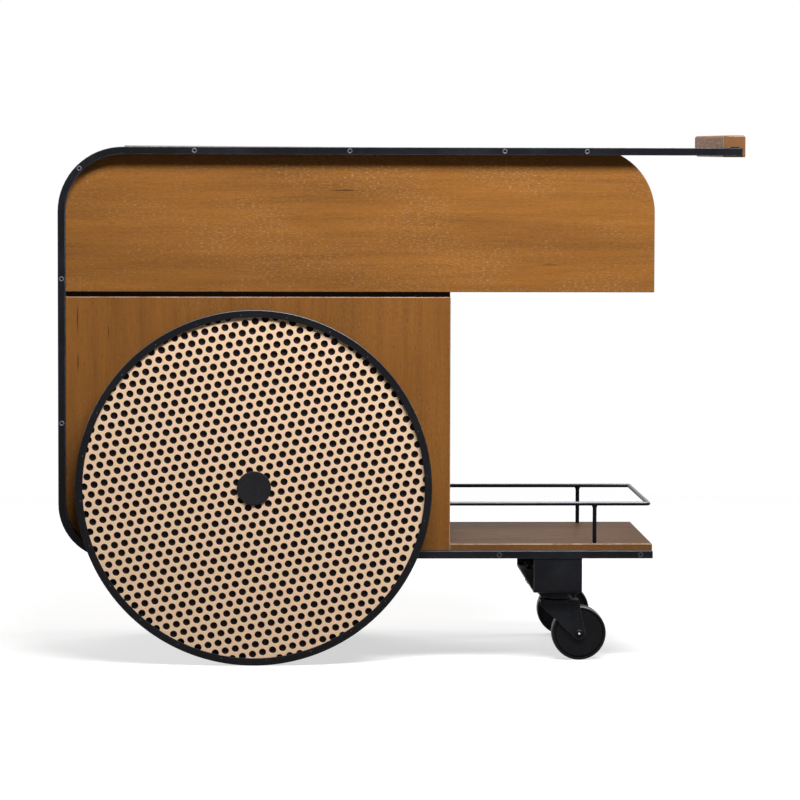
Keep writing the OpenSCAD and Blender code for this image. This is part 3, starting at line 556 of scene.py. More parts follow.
# Painted highlight, partly: the blue-grey arris colour stands for the light's reflection on the bars' rounded edges,
# as well as scuffing.
FRAME_PAINT = Coating("frame_paint", shade(19, 19, 22), shade(96, 102, 116), 0.45, wear=0.6)
RAIL_PAINT = Coating(
    "rail_paint", shade(13, 17, 27), shade(50, 56, 70), 0.42, shine=0.05, top_shine=2.6, crown_share=0.15,
    specks=0.0, relief=0.02,
)
SPACER_PAINT = Coating("spacer_paint", shade(54, 52, 51), shade(66, 64, 63), 0.7, shine=0.05, top_shine=0.1)
TYRE_RUBBER = Coating("tyre_rubber", shade(20, 20, 23), shade(96, 98, 104), 0.45, top_shine=3.0, crown_share=0.15)
RIM_PAINT = Coating("rim_paint", shade(20, 20, 23), shade(70, 70, 76), 0.5)
CAP_RUBBER = Coating("cap_rubber", shade(30, 30, 33), shade(84, 84, 90), 0.6, wear=0.25, specks=0.4, clouds=0.1)
PAD_RUBBER = Coating("pad_rubber", shade(22, 22, 23), shade(50, 50, 52), 0.7, shine=0.1)
CASTER_PLASTIC = Coating("caster_plastic", shade(14, 13, 15), shade(60, 60, 66), 0.42, wear=0.6)
BACKING = Coating("wheel_backing", shade(42, 39, 43), shade(56, 53, 56), 0.85, shine=0.03, specks=0.0)
# Painted shade: near-black plugs fill the screws' hexagon sockets, standing in for the shade inside them.
SOCKET_PAINTED_SHADE = Coating("socket_dark", shade(18, 18, 20), shade(40, 40, 44), 0.6, shine=0.05)
BLACK_STEEL = Coating("blackened_steel", shade(16, 16, 18), shade(60, 62, 68), 0.5, shine=0.06)
SCREW_STEEL = Metal("screw_steel", shade(104, 105, 112), shade(76, 77, 84), 0.5)
DULL_STEEL = Metal("dull_steel", shade(74, 74, 80), shade(48, 48, 54), 0.5)
PIN_STEEL = Metal("pin_steel", shade(96, 96, 102), shade(64, 64, 70), 0.55)
ZINC_STEEL = Metal("zinc_plating", shade(176, 180, 186), shade(136, 140, 148), 0.36)
PLATE_BRUSHING = Texture((12, 700, 700), 3.0, 0.6)
PLATE_STEEL = Metal(
    "brushed_plate", shade(172, 168, 172), shade(148, 145, 150), 0.5, PLATE_BRUSHING, metallic=0.0, shine=0.02,
)
GLINT_STEEL = Metal("glint_steel", shade(226, 226, 232), shade(200, 200, 208), 0.16)


# Shapes


def placed(name: str, data: bpy.types.ID) -> Piece:
    """Adds an object to the scene.

    Args:
        name: The object's name.
        data: Its mesh, curve, light or camera.

    Returns:
        The object.
    """
    item = bpy.data.objects.new(name, data)
    bpy.context.scene.collection.objects.link(item)
    return item


def welded(node: str) -> Shape:
    """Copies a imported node's mesh and joins the seams that its normals split.

    Args:
        node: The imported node's name.

    Returns:
        The copy.
    """
    shape = bmesh.new()
    shape.from_mesh(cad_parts[node].data)
    bmesh.ops.remove_doubles(shape, verts=shape.verts, dist=WELD)
    return shape


def finished(name: str, shape: Shape, sharp: float = 40.0) -> Piece:
    """Turns a shape into a piece, shaded smooth up to an angle.

    Args:
        name: The piece's name.
        shape: The shape, which is freed.
        sharp: The angle in degrees from which an edge stays sharp.

    Returns:
        The piece, in the scene.
    """
    mesh = bpy.data.meshes.new(name)
    shape.to_mesh(mesh)
    shape.free()
    for stale in ("custom_normal", "sharp_face", "sharp_edge"):
        if stale in mesh.attributes:
            mesh.attributes.remove(mesh.attributes[stale])
    mesh.shade_smooth()
    mesh.set_sharp_from_angle(angle=math.radians(sharp))
    return placed(name, mesh)


def rounded(node: str, arris: float, segments: int = 3, shortest: float = 0.0) -> Piece:
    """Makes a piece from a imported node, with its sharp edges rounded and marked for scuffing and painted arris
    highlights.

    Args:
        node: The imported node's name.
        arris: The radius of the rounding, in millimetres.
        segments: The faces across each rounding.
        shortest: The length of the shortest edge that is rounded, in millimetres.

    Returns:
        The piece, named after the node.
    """
    shape = welded(node)
    layer = shape.faces.layers.float.new(ARRIS)
    bmesh.ops.dissolve_limit(shape, angle_limit=FLAT, verts=shape.verts, edges=shape.edges)
    edges = [
        e for e in shape.edges
        if len(e.link_faces) == 2 and e.calc_face_angle(0.0) > CREASE and e.calc_length() >= shortest * MM
    ]
    made = bmesh.ops.bevel(
        shape, geom=edges, offset=arris * MM, offset_type="OFFSET", segments=segments, profile=0.5,
        affect="EDGES", clamp_overlap=False, loop_slide=False,
    )
    for face in made["faces"]:
        face[layer] = 1.0
    piece = finished(f"{node}_body", shape)
    piece.modifiers.new("even_shading", "WEIGHTED_NORMAL").keep_sharp = True
    return piece


def eased(corners: Sequence[Ring], radii: Sequence[float], closed: bool = False, steps: int = 4) -> list[Ring]:
    """Rounds the corners of a profile.

    Args:
        corners: The profile's corners.
        radii: The rounding at each corner, in millimetres.
        closed: True where the last corner joins the first.
        steps: The points in each rounding, less one.

    Returns:
        The rounded profile.
    """
    points: list[Ring] = []
    count = len(corners)
    for i, (corner, radius) in enumerate(zip(corners, radii)):
        at_end = not closed and i in (0, count - 1)
        if at_end or radius <= 0:
            points.append(corner)
            continue
        here = Vector(corner)
        before = (Vector(corners[i - 1]) - here).normalized() * radius + here
        after = (Vector(corners[(i + 1) % count]) - here).normalized() * radius + here
        for step in range(steps + 1):
            t = step / steps
            point = before * (1 - t) ** 2 + here * 2 * t * (1 - t) + after * t * t
            points.append((point.x, point.y))
    return points


def add_turned(
    shape: Shape, profile: Sequence[Ring], place: Place, steps: int, closed: bool = False,
    hexagons: Iterable[int] = (),
) -> Shape:
    """Turns a profile round an axis and adds it to a shape.

    Args:
        shape: The shape that it is added to.
        profile: The rings; one of no radius is a point.
        place: The point where depth is zero, and the axis' direction.
        steps: The points in each ring.
        closed: True where the last ring joins the first.
        hexagons: The rings that are hexagons and not circles.

    Returns:
        The same shape.
    """
    centre, axis = place
    aside = axis.orthogonal().normalized()
    above = axis.cross(aside)
    rings = []
    for number, (radius, depth) in enumerate(profile):
        point = centre + axis * depth * MM
        if radius == 0:
            rings.append([shape.verts.new(point)])
            continue
        ring = []
        for step in range(steps):
            turn = 2 * math.pi * step / steps
            reach = radius * MM
            if number in hexagons:
                reach *= math.cos(math.pi / 6) / math.cos((turn % (math.pi / 3)) - math.pi / 6)
            ring.append(shape.verts.new(point + (aside * math.cos(turn) + above * math.sin(turn)) * reach))
        rings.append(ring)
    pairs = list(zip(rings, rings[1:])) + ([(rings[-1], rings[0])] if closed else [])
    faces = []
    for near, far in pairs:
        for i in range(steps):
            quad = (near[i % len(near)], near[(i + 1) % len(near)], far[(i + 1) % len(far)], far[i % len(far)])
            corners = list(dict.fromkeys(quad))
            if len(corners) > 2:
                faces.append(shape.faces.new(corners))
    bmesh.ops.recalc_face_normals(shape, faces=faces)
    return shape


def rod(name: str, points: Sequence[Vector], diameter: float) -> Piece:
    """Makes a round rod along a line of points.

    Args:
        name: The piece's name.
        points: The points, in metres.
        diameter: The rod's diameter, in millimetres.

    Returns:
        The piece.
    """
    curve = bpy.data.curves.new(name, "CURVE")
    curve.dimensions = "3D"
    curve.bevel_depth = diameter / 2 * MM
    curve.bevel_resolution = 6
    curve.use_fill_caps = True
    spline = curve.splines.new("POLY")
    spline.points.add(len(points) - 1)
    for spot, point in zip(spline.points, points):
        spot.co = (*point, 1.0)
    drawn = placed(name, curve)
    mesh = bpy.data.meshes.new_from_object(drawn.evaluated_get(bpy.context.evaluated_depsgraph_get()))
    bpy.data.objects.remove(drawn)
    bpy.data.curves.remove(curve)
    shape = bmesh.new()
    shape.from_mesh(mesh)
    bpy.data.meshes.remove(mesh)
    return finished(name, shape, ROUND)


def islands(node: str) -> list[Box]:
    """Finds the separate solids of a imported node.

    Args:
        node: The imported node's name.

    Returns:
        The box of each, in the order of their places.
    """
    shape = welded(node)
    left = set(shape.verts)
    boxes = []
    while left:
        group = [left.pop()]
        for vert in group:  # the group grows as it is walked
            near = {edge.other_vert(vert) for edge in vert.link_edges} & left
            left -= near
            group += near
        spots = [v.co for v in group]
        low = Vector(min(p[i] for p in spots) for i in range(3))
        high = Vector(max(p[i] for p in spots) for i in range(3))
        boxes.append((low, high))
    shape.free()
    return sorted(boxes, key=lambda box: tuple(round(v, 4) for v in box[0]))  # to a tenth of a millimetre


# Joining pieces to the frame


DRESSED: set[str] = set()


def settle(piece: Piece, body: str, slot: str, finish: Finish, *nodes: str) -> None:
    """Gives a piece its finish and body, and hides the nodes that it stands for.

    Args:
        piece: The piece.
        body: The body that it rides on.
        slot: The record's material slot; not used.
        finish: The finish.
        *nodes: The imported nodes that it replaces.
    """
    piece.data.materials.clear()
    piece.data.materials.append(finish.material())
    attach(piece, body)
    if nodes:
        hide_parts(*nodes)
        DRESSED.update(nodes)
    LOG.info("%s on %s, %d faces", piece.name, body, len(piece.data.polygons))


def soften(nodes: Iterable[str], arris: float, body: str, slot: str, finish: Finish, **cut: float) -> None:
    """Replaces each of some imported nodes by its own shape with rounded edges.

    Args:
        nodes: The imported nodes.
        arris: The radius of the rounding, in millimetres.
        body: The body that they ride on.
        slot: The record's material slot.
        finish: The finish.
        **cut: What else the rounding is told.
    """
    for node in nodes:
        settle(rounded(node, arris, **cut), body, slot, finish, node)


def dress(finish: Finish, *nodes: str) -> None:
    """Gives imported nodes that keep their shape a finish.

    Args:
        finish: The finish.
        *nodes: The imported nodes.
    """
    for node in nodes:
        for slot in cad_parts[node].material_slots:
            slot.material = finish.material()
        DRESSED.add(node)
        LOG.info("%s keeps its shape", node)


def pair(stem: str) -> list[str]:
    """Gives the names of a front and a back node."""
    return [f"{stem}_{side.word}" for side in Side]


# Sub-assemblies, with sizes in millimetres


@dataclass
class SocketHeads:
    """The heads of a row of socket screws, each a bevelled ring round a hexagon socket that a dark plug fills near
    its top, as painted shade.
    """

    head: tuple[Ring, ...] = (
        (0.0, -4.0), (4.2, -4.0), (4.2, -0.45), (3.99, 0.04), (3.5, 0.25), (2.75, 0.25), (2.4, -0.15), (2.4, -2.6),
        (0.0, -3.1),
    )
    head_hexagons: tuple[int, ...] = (6, 7)
    # a dark plug in each socket, just under the head's top: painted shade for the deep recess
    floor: tuple[Ring, ...] = ((0.0, -1.8), (2.35, -1.8), (2.35, -0.45), (0.0, -0.55))
    floor_hexagons: tuple[int, ...] = (1, 2)
    steps: int = 36

    def build(self, name: str, places: Sequence[Place], finish: Metal, *nodes: str) -> None:
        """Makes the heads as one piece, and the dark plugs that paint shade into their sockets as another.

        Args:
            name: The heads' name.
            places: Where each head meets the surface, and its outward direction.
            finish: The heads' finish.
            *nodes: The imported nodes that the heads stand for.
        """
        shape, inside = bmesh.new(), bmesh.new()
        for place in places:
            add_turned(shape, self.head, place, self.steps, hexagons=self.head_hexagons)
            add_turned(inside, self.floor, place, self.steps, hexagons=self.floor_hexagons)
        settle(finished(name, shape, CRISP), "root", "steel", finish, *nodes)
        settle(finished(f"{name}_sockets", inside, CRISP), "root", "steel", SOCKET_PAINTED_SHADE)


@dataclass
class SideFrames:
    """The two bent bars with their socket screws."""

    arris: float = 0.9
    shortest: float = 2.5
    low_bar: float = 0.3  # metres
    heads: SocketHeads = field(default_factory=SocketHeads)

    def build(self) -> None:
        """Makes the bars and the screws, with duller ones in the low bars."""
        soften(pair("side_frame"), self.arris, "root", "frame_black", FRAME_PAINT, shortest=self.shortest)
        places = []
        for low, high in islands("frame_screws"):
            middle = (low + high) / 2
            side = Side.FRONT if middle.y < 0 else Side.BACK
            face = low.y if side is Side.FRONT else high.y
            places.append((Vector((middle.x, face, middle.z)), side.outward))
        upper = [place for place in places if place[0].z > self.low_bar]
        lower = [place for place in places if place[0].z <= self.low_bar]
        self.heads.build("frame_screw_heads", upper, SCREW_STEEL, "frame_screws")
        self.heads.build("low_screw_heads", lower, DULL_STEEL)


@dataclass
class UpperCase:
    """The upper case's boards, with the rail between the lids."""

    arris: float = 1.2
    inner_arris: float = 0.6

    def build(self) -> None:
        """Makes the boards."""
        ends = ("upper_end_left", "upper_end_right")
        inner = ("upper_bottom", "upper_divider", "centre_rail")
        soften(pair("upper_side"), self.arris, "root", "upper_wood", UPPER_VENEER)
        soften(ends, self.inner_arris, "root", "upper_wood", CROSS_VENEER)
        soften(inner, self.inner_arris, "root", "upper_wood", UPPER_VENEER)


@dataclass
class TopLids:
    """The two top flaps with their pins, pads and steel plate."""

    arris: float = 1.0
    plate_arris: float = 0.4
    pad_radius: float = 4.0
    pad_edge: float = 0.8
    pad_steps: int = 32

    def build(self) -> None:
        """Makes the flaps and the plate, and dresses the pins."""
        soften(["lid_left_board"], self.arris, "lid_left", "upper_wood", UPPER_VENEER)
        soften(["lid_left_plate"], self.plate_arris, "lid_left", "plate_steel", PLATE_STEEL)
        soften(["lid_right_board"], self.arris, "lid_right", "upper_wood", UPPER_VENEER)
        self.add_pads()
        dress(ZINC_STEEL, "lid_pins")

    def add_pads(self) -> None:
        """Makes the round pads under the left flap."""
        shape = bmesh.new()
        for low, high in islands("lid_bumpers"):
            tall = (high.z - low.z) / MM
            corners = [(0.0, 0.0), (self.pad_radius, 0.0), (self.pad_radius, tall), (0.0, tall)]
            base = Vector(((low.x + high.x) / 2, (low.y + high.y) / 2, low.z))
            add_turned(shape, eased(corners, (0, 0, self.pad_edge, 0)), (base, UP), self.pad_steps)
        settle(finished("lid_pads", shape), "root", "rubber", PAD_RUBBER, "lid_bumpers")


@dataclass
class LowerCase:
    """The lower case, the spacer over it and the board that runs on as the shelf."""

    arris: float = 1.2
    shelf_arris: float = 1.5
    spacer_arris: float = 0.5
    spacer_reach: float = 11.5

    def build(self) -> None:
        """Makes the boards."""
        boards = (*pair("lower_side"), "lower_end", "lower_top")
        soften(boards, self.arris, "root", "lower_wood", LOWER_VENEER)
        soften(["base_board"], self.shelf_arris, "root", "shelf_wood", SHELF_VENEER)
        self.add_spacer()

    def add_spacer(self) -> None:
        """Makes the black board in the gap, and brings its right end out to the case's own end."""
        spacer = rounded("case_spacer", self.spacer_arris)
        low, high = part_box("case_spacer")
        for vertex in spacer.data.vertices:
            if vertex.co.x > (low.x + high.x) / 2:
                vertex.co.x += self.spacer_reach * MM
        settle(spacer, "root", "frame_black", SPACER_PAINT, "case_spacer")


@dataclass
class GalleryRail:
    """The bent rod round the shelf, on two welded posts."""

    rod_d: float = 6.5
    bend: float = 4.0
    bend_steps: int = 6
    post_in: float = 92.5
    post_steps: int = 32
    flare: float = 4.2
    flare_h: float = 8.0
    flare_steps: int = 8

    def run(self) -> list[Vector]:
        """Gives the rod's middle line, with its two bends.

        Returns:
            The points, in metres.
        """
        low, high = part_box("gallery_rail")
        half, bend = self.rod_d / 2 * MM, self.bend * MM
        x, y, z = high.x - half, high.y - half, high.z - half
        points = [Vector((low.x, -y, z))]
        for side in Side:
            arc = []
            for step in range(self.bend_steps + 1):
                turn = math.pi / 2 * step / self.bend_steps
                reach = y - bend + bend * math.cos(turn)
                arc.append(Vector((x - bend + bend * math.sin(turn), side.value * reach, z)))
            points += arc if side is Side.FRONT else arc[::-1]
        return [*points, Vector((low.x, y, z))]

    def build(self) -> None:
        """Makes the rod and the posts."""
        rail = rod("gallery_rail_rod", self.run(), self.rod_d)
        settle(rail, "root", "frame_black", RAIL_PAINT, "gallery_rail")
        self.add_posts()

    def add_posts(self) -> None:
        """Makes the posts, which spread along the rod where they meet it but are no thicker across it."""
        low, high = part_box("gallery_rail")
        half = self.rod_d / 2
        tall = (high.z - low.z) / MM - half
        shelf_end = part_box("base_board")[1].x
        profile = [(half, 0.0)]
        for step in range(self.flare_steps + 1):
            t = step / self.flare_steps
            profile.append((half + self.flare * t ** 2, tall - self.flare_h * (1 - t)))
        shape = bmesh.new()
        for side in Side:
            base = Vector((shelf_end - self.post_in * MM, side.value * (high.y - half * MM), low.z))
            old = set(shape.verts)
            add_turned(shape, profile, (base, UP), self.post_steps)
            for vert in set(shape.verts) - old:
                away = vert.co - base
                away.z = 0.0
                if away.length > half * MM:
                    vert.co.y = base.y + away.y * half * MM / away.length
        settle(finished("gallery_rail_posts", shape, SOFT), "root", "frame_black", RAIL_PAINT)


@dataclass
class PushHandle:
    """The wooden push bar with its two screws."""

    arris: float = 0.3
    heads: SocketHeads = field(default_factory=SocketHeads)

    def build(self) -> None:
        """Makes the bar and the screws' heads."""
        soften(["handle"], self.arris, "root", "handle_wood", HANDLE_WOOD)
        places = []
        for low, high in islands("handle_screws"):
            middle = (low + high) / 2
            places.append((Vector((middle.x, middle.y, low.z)), -UP))
        self.heads.build("handle_screw_heads", places, SCREW_STEEL, "handle_screws")


@dataclass
class CasterBracket:
    """The folded strap under the frames, with the casters' bolts."""

    arris: float = 0.7
    bolt_arris: float = 0.3

    def build(self) -> None:
        """Makes the strap and the bolts."""
        soften(["caster_bracket"], self.arris, "root", "frame_black", FRAME_PAINT)
        soften(["caster_bolts"], self.bolt_arris, "root", "black_steel", BLACK_STEEL, segments=1)


@dataclass
class StubAxles:
    """The axles of the large wheels with their bolts and clips."""

    arris: float = 0.4

    def build(self) -> None:
        """Makes the axles and dresses the bolts and clips."""
        soften(pair("axle"), self.arris, "root", "steel", ZINC_STEEL, segments=2)
        dress(SCREW_STEEL, "axle_bolts", "axle_clips")


@dataclass
class Sided:
    """A sub-assembly that stands once on each side."""

    side: Side
    kind = ""  # the word that its names start with

    def node(self, part: str) -> str:
        """Gives the name of one of its nodes, pieces or bodies."""
        return f"{self.kind}_{self.side.word}_{part}"

    def radius(self, part: str) -> float:
        """Gives a turned node's radius, in millimetres."""
        low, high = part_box(self.node(part))
        return (high.x - low.x) / 2 / MM

    def faces(self, part: str) -> list[float]:
        """Gives how far a node starts and ends from the middle plane, in millimetres."""
        return sorted(corner.y * self.side.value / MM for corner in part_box(self.node(part)))

    def place(self, part: str) -> Place:
        """Gives a turned node's centre on the middle plane, and the outward direction."""
        low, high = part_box(self.node(part))
        return Vector(((low.x + high.x) / 2, 0.0, (low.z + high.z) / 2)), self.side.outward


@dataclass
class LargeWheel(Sided):
    """One large wheel: tyre, rim with its small screws, perforated face, dark core, hub and cap."""

    kind = "wheel"
    tyre_edge: float = 1.2
    # Height over the tread and place across it
    groove: tuple[Ring, ...] = ((0.0, -1.0), (-0.8, -0.2), (-0.8, 0.2), (0.0, 1.0))
    groove_at: tuple[float, ...] = (-3.0, 3.0)
    rim_edge: float = 0.3
    rim_step: float = 0.35
    rim_gap: float = 0.05
    lip_h: float = 8.0
    lip_t: float = 4.0
    pins: int = 24
    pin_turn: float = 4.2  # degrees
    pin: tuple[Ring, ...] = ((0.8, -1.5), (0.8, 0.05), (0.56, 0.26), (0.2, 0.32), (0.0, 0.32))
    pin_steps: int = 12
    cap_edge: float = 1.6
    cap_dish: float = 0.3
    cap_flat: float = 0.82  # of the cap's radius
    cap_hollow: float = 0.7
    cap_steps: int = 96
    steps: int = 256

    @property
    def body(self) -> str:
        """The body that turns."""
        return f"wheel_{self.side.word}"

    def build(self) -> None:
        """Makes the wheel's pieces and dresses those that keep their shape."""
        self.add_tyre()
        self.add_rim()
        self.add_pins()
        for finish, part in ((PALE_PLY, "face"), (BACKING, "core"), (RIM_PAINT, "hub"), (ZINC_STEEL, "bearings")):
            dress(finish, self.node(part))
        self.add_cap()

    def add_tyre(self) -> None:
        """Makes the tyre, with soft shoulders and two grooves."""
        bore, tread = self.radius("rim"), self.radius("tyre")
        inner, outer = self.faces("tyre")
        middle = (inner + outer) / 2
        grooves = [(tread + rise, middle + at + across) for at in self.groove_at for rise, across in self.groove]
        corners = [(bore, inner), (tread, inner), *grooves, (tread, outer), (bore, outer)]
        profile = eased(corners, [0, self.tyre_edge, *[0] * len(grooves), self.tyre_edge, 0], True)
        shape = add_turned(bmesh.new(), profile, self.place("tyre"), self.steps, True)
        settle(finished(self.node("tyre_band"), shape, SOFT), self.body, "tyre", TYRE_RUBBER, self.node("tyre"))

    def add_rim(self) -> None:
        """Makes the rim: a band inside the tyre, with a lip behind the face."""
        rim, band, edge = self.radius("rim"), self.radius("face") + self.rim_gap, self.rim_edge
        inner, outer = self.faces("tyre")
        outer -= self.rim_step
        lip, shelf = band - self.lip_h, inner + self.lip_t
        corners = [(lip, inner), (rim, inner), (rim, outer), (band, outer), (band, shelf), (lip, shelf)]
        profile = eased(corners, [edge, 0, edge, edge, 0, edge], True)
        shape = add_turned(bmesh.new(), profile, self.place("tyre"), self.steps, True)
        settle(finished(self.node("rim_band"), shape, SOFT), self.body, "frame_black", RIM_PAINT, self.node("rim"))

    def add_pins(self) -> None:
        """Makes the ring of small screws on the rim's outer face."""
        centre, outward = self.place("tyre")
        radius = (self.radius("rim") + self.radius("face")) / 2
        depth = self.faces("tyre")[1] - self.rim_step
        shape = bmesh.new()
        for i in range(self.pins):
            turn = math.radians(self.pin_turn) + 2 * math.pi * i / self.pins
            spot = centre + Vector((math.cos(turn), 0, math.sin(turn))) * radius * MM + outward * depth * MM
            add_turned(shape, self.pin, (spot, outward), self.pin_steps)
        settle(finished(self.node("rim_pins"), shape), self.body, "steel", PIN_STEEL)

    def add_cap(self) -> None:
        """Makes the hub cap, with a soft edge and a faint dish."""
        cap, face, outer = self.radius("cap"), self.faces("face")[1], self.faces("cap")[1]
        dish = outer - self.cap_dish
        corners = [
            (0.0, face), (cap, face), (cap, outer), (cap * self.cap_flat, outer), (cap * self.cap_hollow, dish),
            (0.0, dish),
        ]
        profile = eased(corners, [0, 0, self.cap_edge, 0, 0, 0], steps=6)
        shape = add_turned(bmesh.new(), profile, self.place("tyre"), self.cap_steps)
        settle(finished(self.node("cap_disc"), shape, SOFT), self.body, "cap_black", CAP_RUBBER, self.node("cap"))


@dataclass
class Caster(Sided):
    """One swivel caster: plate, race, kingpin, fork, axle, core and tread."""

    kind = "caster"
    arris: float = 0.4
    shank_share: float = 0.6  # of the head's radius
    nut_t: float = 3.0
    nut_in: float = 1.0
    nut_slope: float = 0.8
    dome_h: float = 2.6
    dome_turns: tuple[float, ...] = (0.0, 0.35, 0.7, 1.0, 1.25, 1.45)  # radians
    tip: tuple[Ring, ...] = ((1.9, -0.6), (1.9, -0.25), (1.3, 0.0), (0.6, 0.1), (0.0, 0.12))
    tip_steps: int = 24
    axle_steps: int = 48
    tread_edge: float = 2.6
    tread_crown: float = 0.4
    tread_round: float = 6.0
    steps: int = 96

    def build(self) -> None:
        """Makes the caster's pieces."""
        soften([self.node("plate")], self.arris, "root", "black_steel", BLACK_STEEL)
        soften([self.node("race")], self.arris, "root", "frame_black", FRAME_PAINT)
        dress(ZINC_STEEL, self.node("kingpin"))
        soften([self.node("fork")], self.arris, self.node("arm"), "frame_black", FRAME_PAINT)
        self.add_axle()
        soften([self.node("core")], self.arris, self.node("wheel"), "black_plastic", CASTER_PLASTIC, segments=2)
        self.add_tread()

    def add_axle(self) -> None:
        """Makes the axle, with a domed head and its bright tip on the outer side and a nut on the inner."""
        place, head = self.place("axle"), self.radius("axle")
        inner, outer = self.faces("axle")
        shank, nut, neck, dome = head * self.shank_share, inner + self.nut_t, outer - self.nut_t, outer - self.dome_h
        profile = [
            (0.0, inner), (head - self.nut_in, inner), (head, inner + self.nut_slope), (head, nut), (shank, nut),
            (shank, neck), (head, neck),
            *((head * math.cos(t), dome + self.dome_h * math.sin(t)) for t in self.dome_turns), (0.0, outer),
        ]
        shape = add_turned(bmesh.new(), profile, place, self.axle_steps, hexagons=(1, 2, 3))
        pin = finished(self.node("axle_pin"), shape, CRISP)
        settle(pin, self.node("arm"), "black_steel", BLACK_STEEL, self.node("axle"))
        rings = [(radius, outer + rise) for radius, rise in self.tip]
        shape = add_turned(bmesh.new(), rings, place, self.tip_steps)
        settle(finished(self.node("axle_tip"), shape, ROUND), self.node("arm"), "steel", GLINT_STEEL)

    def add_tread(self) -> None:
        """Makes the tread with its soft edges."""
        bore, crown = self.radius("core"), self.radius("tread")
        edge = crown - self.tread_crown
        inner, outer = self.faces("tread")
        corners = [(bore, inner), (edge, inner), (crown, (inner + outer) / 2), (edge, outer), (bore, outer)]
        profile = eased(corners, [0, self.tread_edge, self.tread_round, self.tread_edge, 0], True, 6)
        shape = add_turned(bmesh.new(), profile, self.place("tread"), self.steps, True)
        tread = finished(self.node("tread_band"), shape, SOFT)
        settle(tread, self.node("wheel"), "tyre", TYRE_RUBBER, self.node("tread"))


# Studio


@dataclass(frozen=True)
class Lamp:
    """One soft box: where it stands and the point that it faces, in metres, its size and its power in watts."""

    name: str
    place: Triple
    aim: Triple
    width: float
    height: float
    power: float

    def build(self) -> None:
        """Adds the lamp."""
        light = bpy.data.lights.new(self.name, "AREA")
        light.shape = "RECTANGLE"
        light.size = self.width
        light.size_y = self.height
        light.energy = self.power
        box = placed(self.name, light)
        box.location = self.place
        box.rotation_euler = (Vector(self.aim) - Vector(self.place)).to_track_quat("-Z", "Y").to_euler()


LAMPS = (
    Lamp("front_strip", (0.45, -1.5, 2.3), (0.0, -0.2, 0.62), 1.8, 0.5, 87.0),
    Lamp("back_box", (0.0, 2.6, 2.4), (0.0, 0.0, 0.4), 2.4, 1.0, 45.0),
    Lamp("left_box", (-2.9, 0.9, 1.5), (-0.2, 0.0, 0.4), 1.2, 1.2, 44.0),
    Lamp("right_box", (2.9, 0.9, 1.5), (0.2, 0.0, 0.4), 1.2, 1.2, 36.0),
)


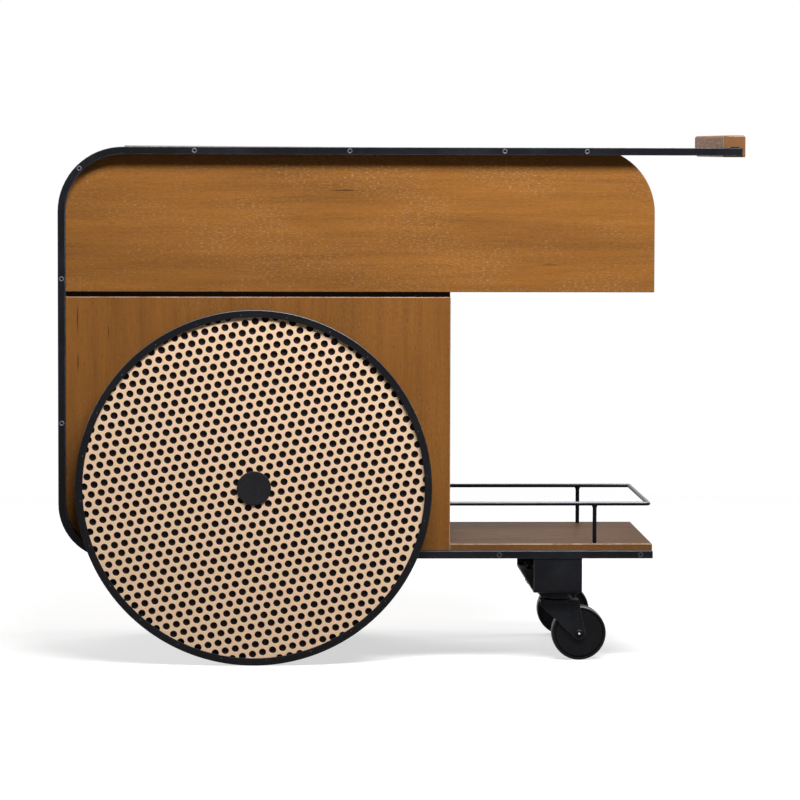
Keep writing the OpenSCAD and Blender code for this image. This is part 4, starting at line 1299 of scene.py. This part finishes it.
@dataclass
class Studio:
    """The floor, the world and the camera, in metres and degrees, and the lamps."""

    eye: Triple = (-0.2318, -6.56, 0.826)
    yaw: float = 2.064
    pitch: float = -3.623
    roll: float = 0.15
    lens: float = 178.69
    sensor: float = 36.0
    far: float = 100.0
    floor_r: float = 3.2
    floor_fade: Span = (2.0, 3.1)
    floor_glow: float = 0.62
    floor_lit: Colour = (0.5, 0.5, 0.5, 1.0)
    floor_bounce: Colour = (0.11, 0.1, 0.09, 1.0)
    floor_steps: int = 96
    ambient: float = 0.04

    def build(self) -> None:
        """Makes the whole studio."""
        self.add_floor()
        for lamp in LAMPS:
            lamp.build()
        self.add_world()
        self.add_camera()

    def seen(self, w: Wiring) -> Socket:
        """Adds a test for rays that look straight, off gloss or through glass.

        Args:
            w: The wiring of a floor or world.

        Returns:
            The test's socket, 1 or 0.
        """
        path = w.put("ShaderNodeLightPath").outputs
        gloss = w.sum("MAXIMUM", path["Is Glossy Ray"], path["Is Transmission Ray"])
        return w.sum("MAXIMUM", path["Is Camera Ray"], gloss)

    def add_floor(self) -> None:
        """Makes a round pale floor that fades into the white background."""
        shape = bmesh.new()
        bmesh.ops.create_circle(shape, cap_ends=True, radius=self.floor_r, segments=self.floor_steps)
        floor = finished("studio_floor", shape)
        made = bpy.data.materials.new("studio_floor")
        made.use_nodes = True
        w = Wiring(made.node_tree)
        place = w.put("ShaderNodeTexCoord").outputs["Object"]
        solid = w.span(w.vector("LENGTH", place)["Value"], *self.floor_fade, 1.0, 0.0)
        seen = self.seen(w)
        matt = w.put("ShaderNodeBsdfDiffuse", {"Color": w.blend(seen, self.floor_bounce, self.floor_lit)})
        strength = w.sum("MULTIPLY", seen, self.floor_glow)
        glow = w.put("ShaderNodeEmission", {"Color": WHITE, "Strength": strength})
        lit = w.put("ShaderNodeAddShader", {0: matt.outputs[0], 1: glow.outputs[0]})
        clear = w.put("ShaderNodeBsdfTransparent")
        both = w.put("ShaderNodeMixShader", {0: solid, 1: clear.outputs[0], 2: lit.outputs[0]})
        w.put("ShaderNodeOutputMaterial", {"Surface": both.outputs[0]})
        floor.data.materials.append(made)

    def add_world(self) -> None:
        """Makes a white background that lights the cart only faintly."""
        world = bpy.data.worlds.new("studio")
        world.use_nodes = True
        w = Wiring(world.node_tree)
        strength = w.span(self.seen(w), 0.0, 1.0, self.ambient, 1.0)
        sky = w.put("ShaderNodeBackground", {"Color": WHITE, "Strength": strength})
        w.put("ShaderNodeOutputWorld", {"Surface": sky.outputs[0]})
        bpy.context.scene.world = world

    def add_camera(self) -> None:
        """Sets the camera at the photograph's viewing angle."""
        data = bpy.data.cameras.new("camera")
        data.lens = self.lens
        data.sensor_width = self.sensor
        data.clip_end = self.far
        camera = placed("camera", data)
        camera.location = self.eye
        level = Euler((math.radians(90 + self.pitch), 0.0, math.radians(-self.yaw))).to_matrix()
        camera.rotation_euler = (level @ Matrix.Rotation(math.radians(self.roll), 3, "Z")).to_euler()
        bpy.context.scene.camera = camera


def main() -> None:
    """Builds every sub-assembly, then the studio."""
    logging.basicConfig(level=logging.INFO, format="%(message)s")
    bpy.context.scene.view_settings.view_transform = "Standard"
    parts = [
        SideFrames(), UpperCase(), TopLids(), LowerCase(), GalleryRail(), PushHandle(), CasterBracket(), StubAxles(),
        *(LargeWheel(side) for side in Side), *(Caster(side) for side in Side),
    ]
    for part in parts:
        LOG.info("building %s", type(part).__name__)
        part.build()
    bare = sorted(set(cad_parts) - DRESSED)
    if bare:
        LOG.warning("nodes without a finish: %s", bare)
    Studio().build()


if __name__ == "__main__":
    main()
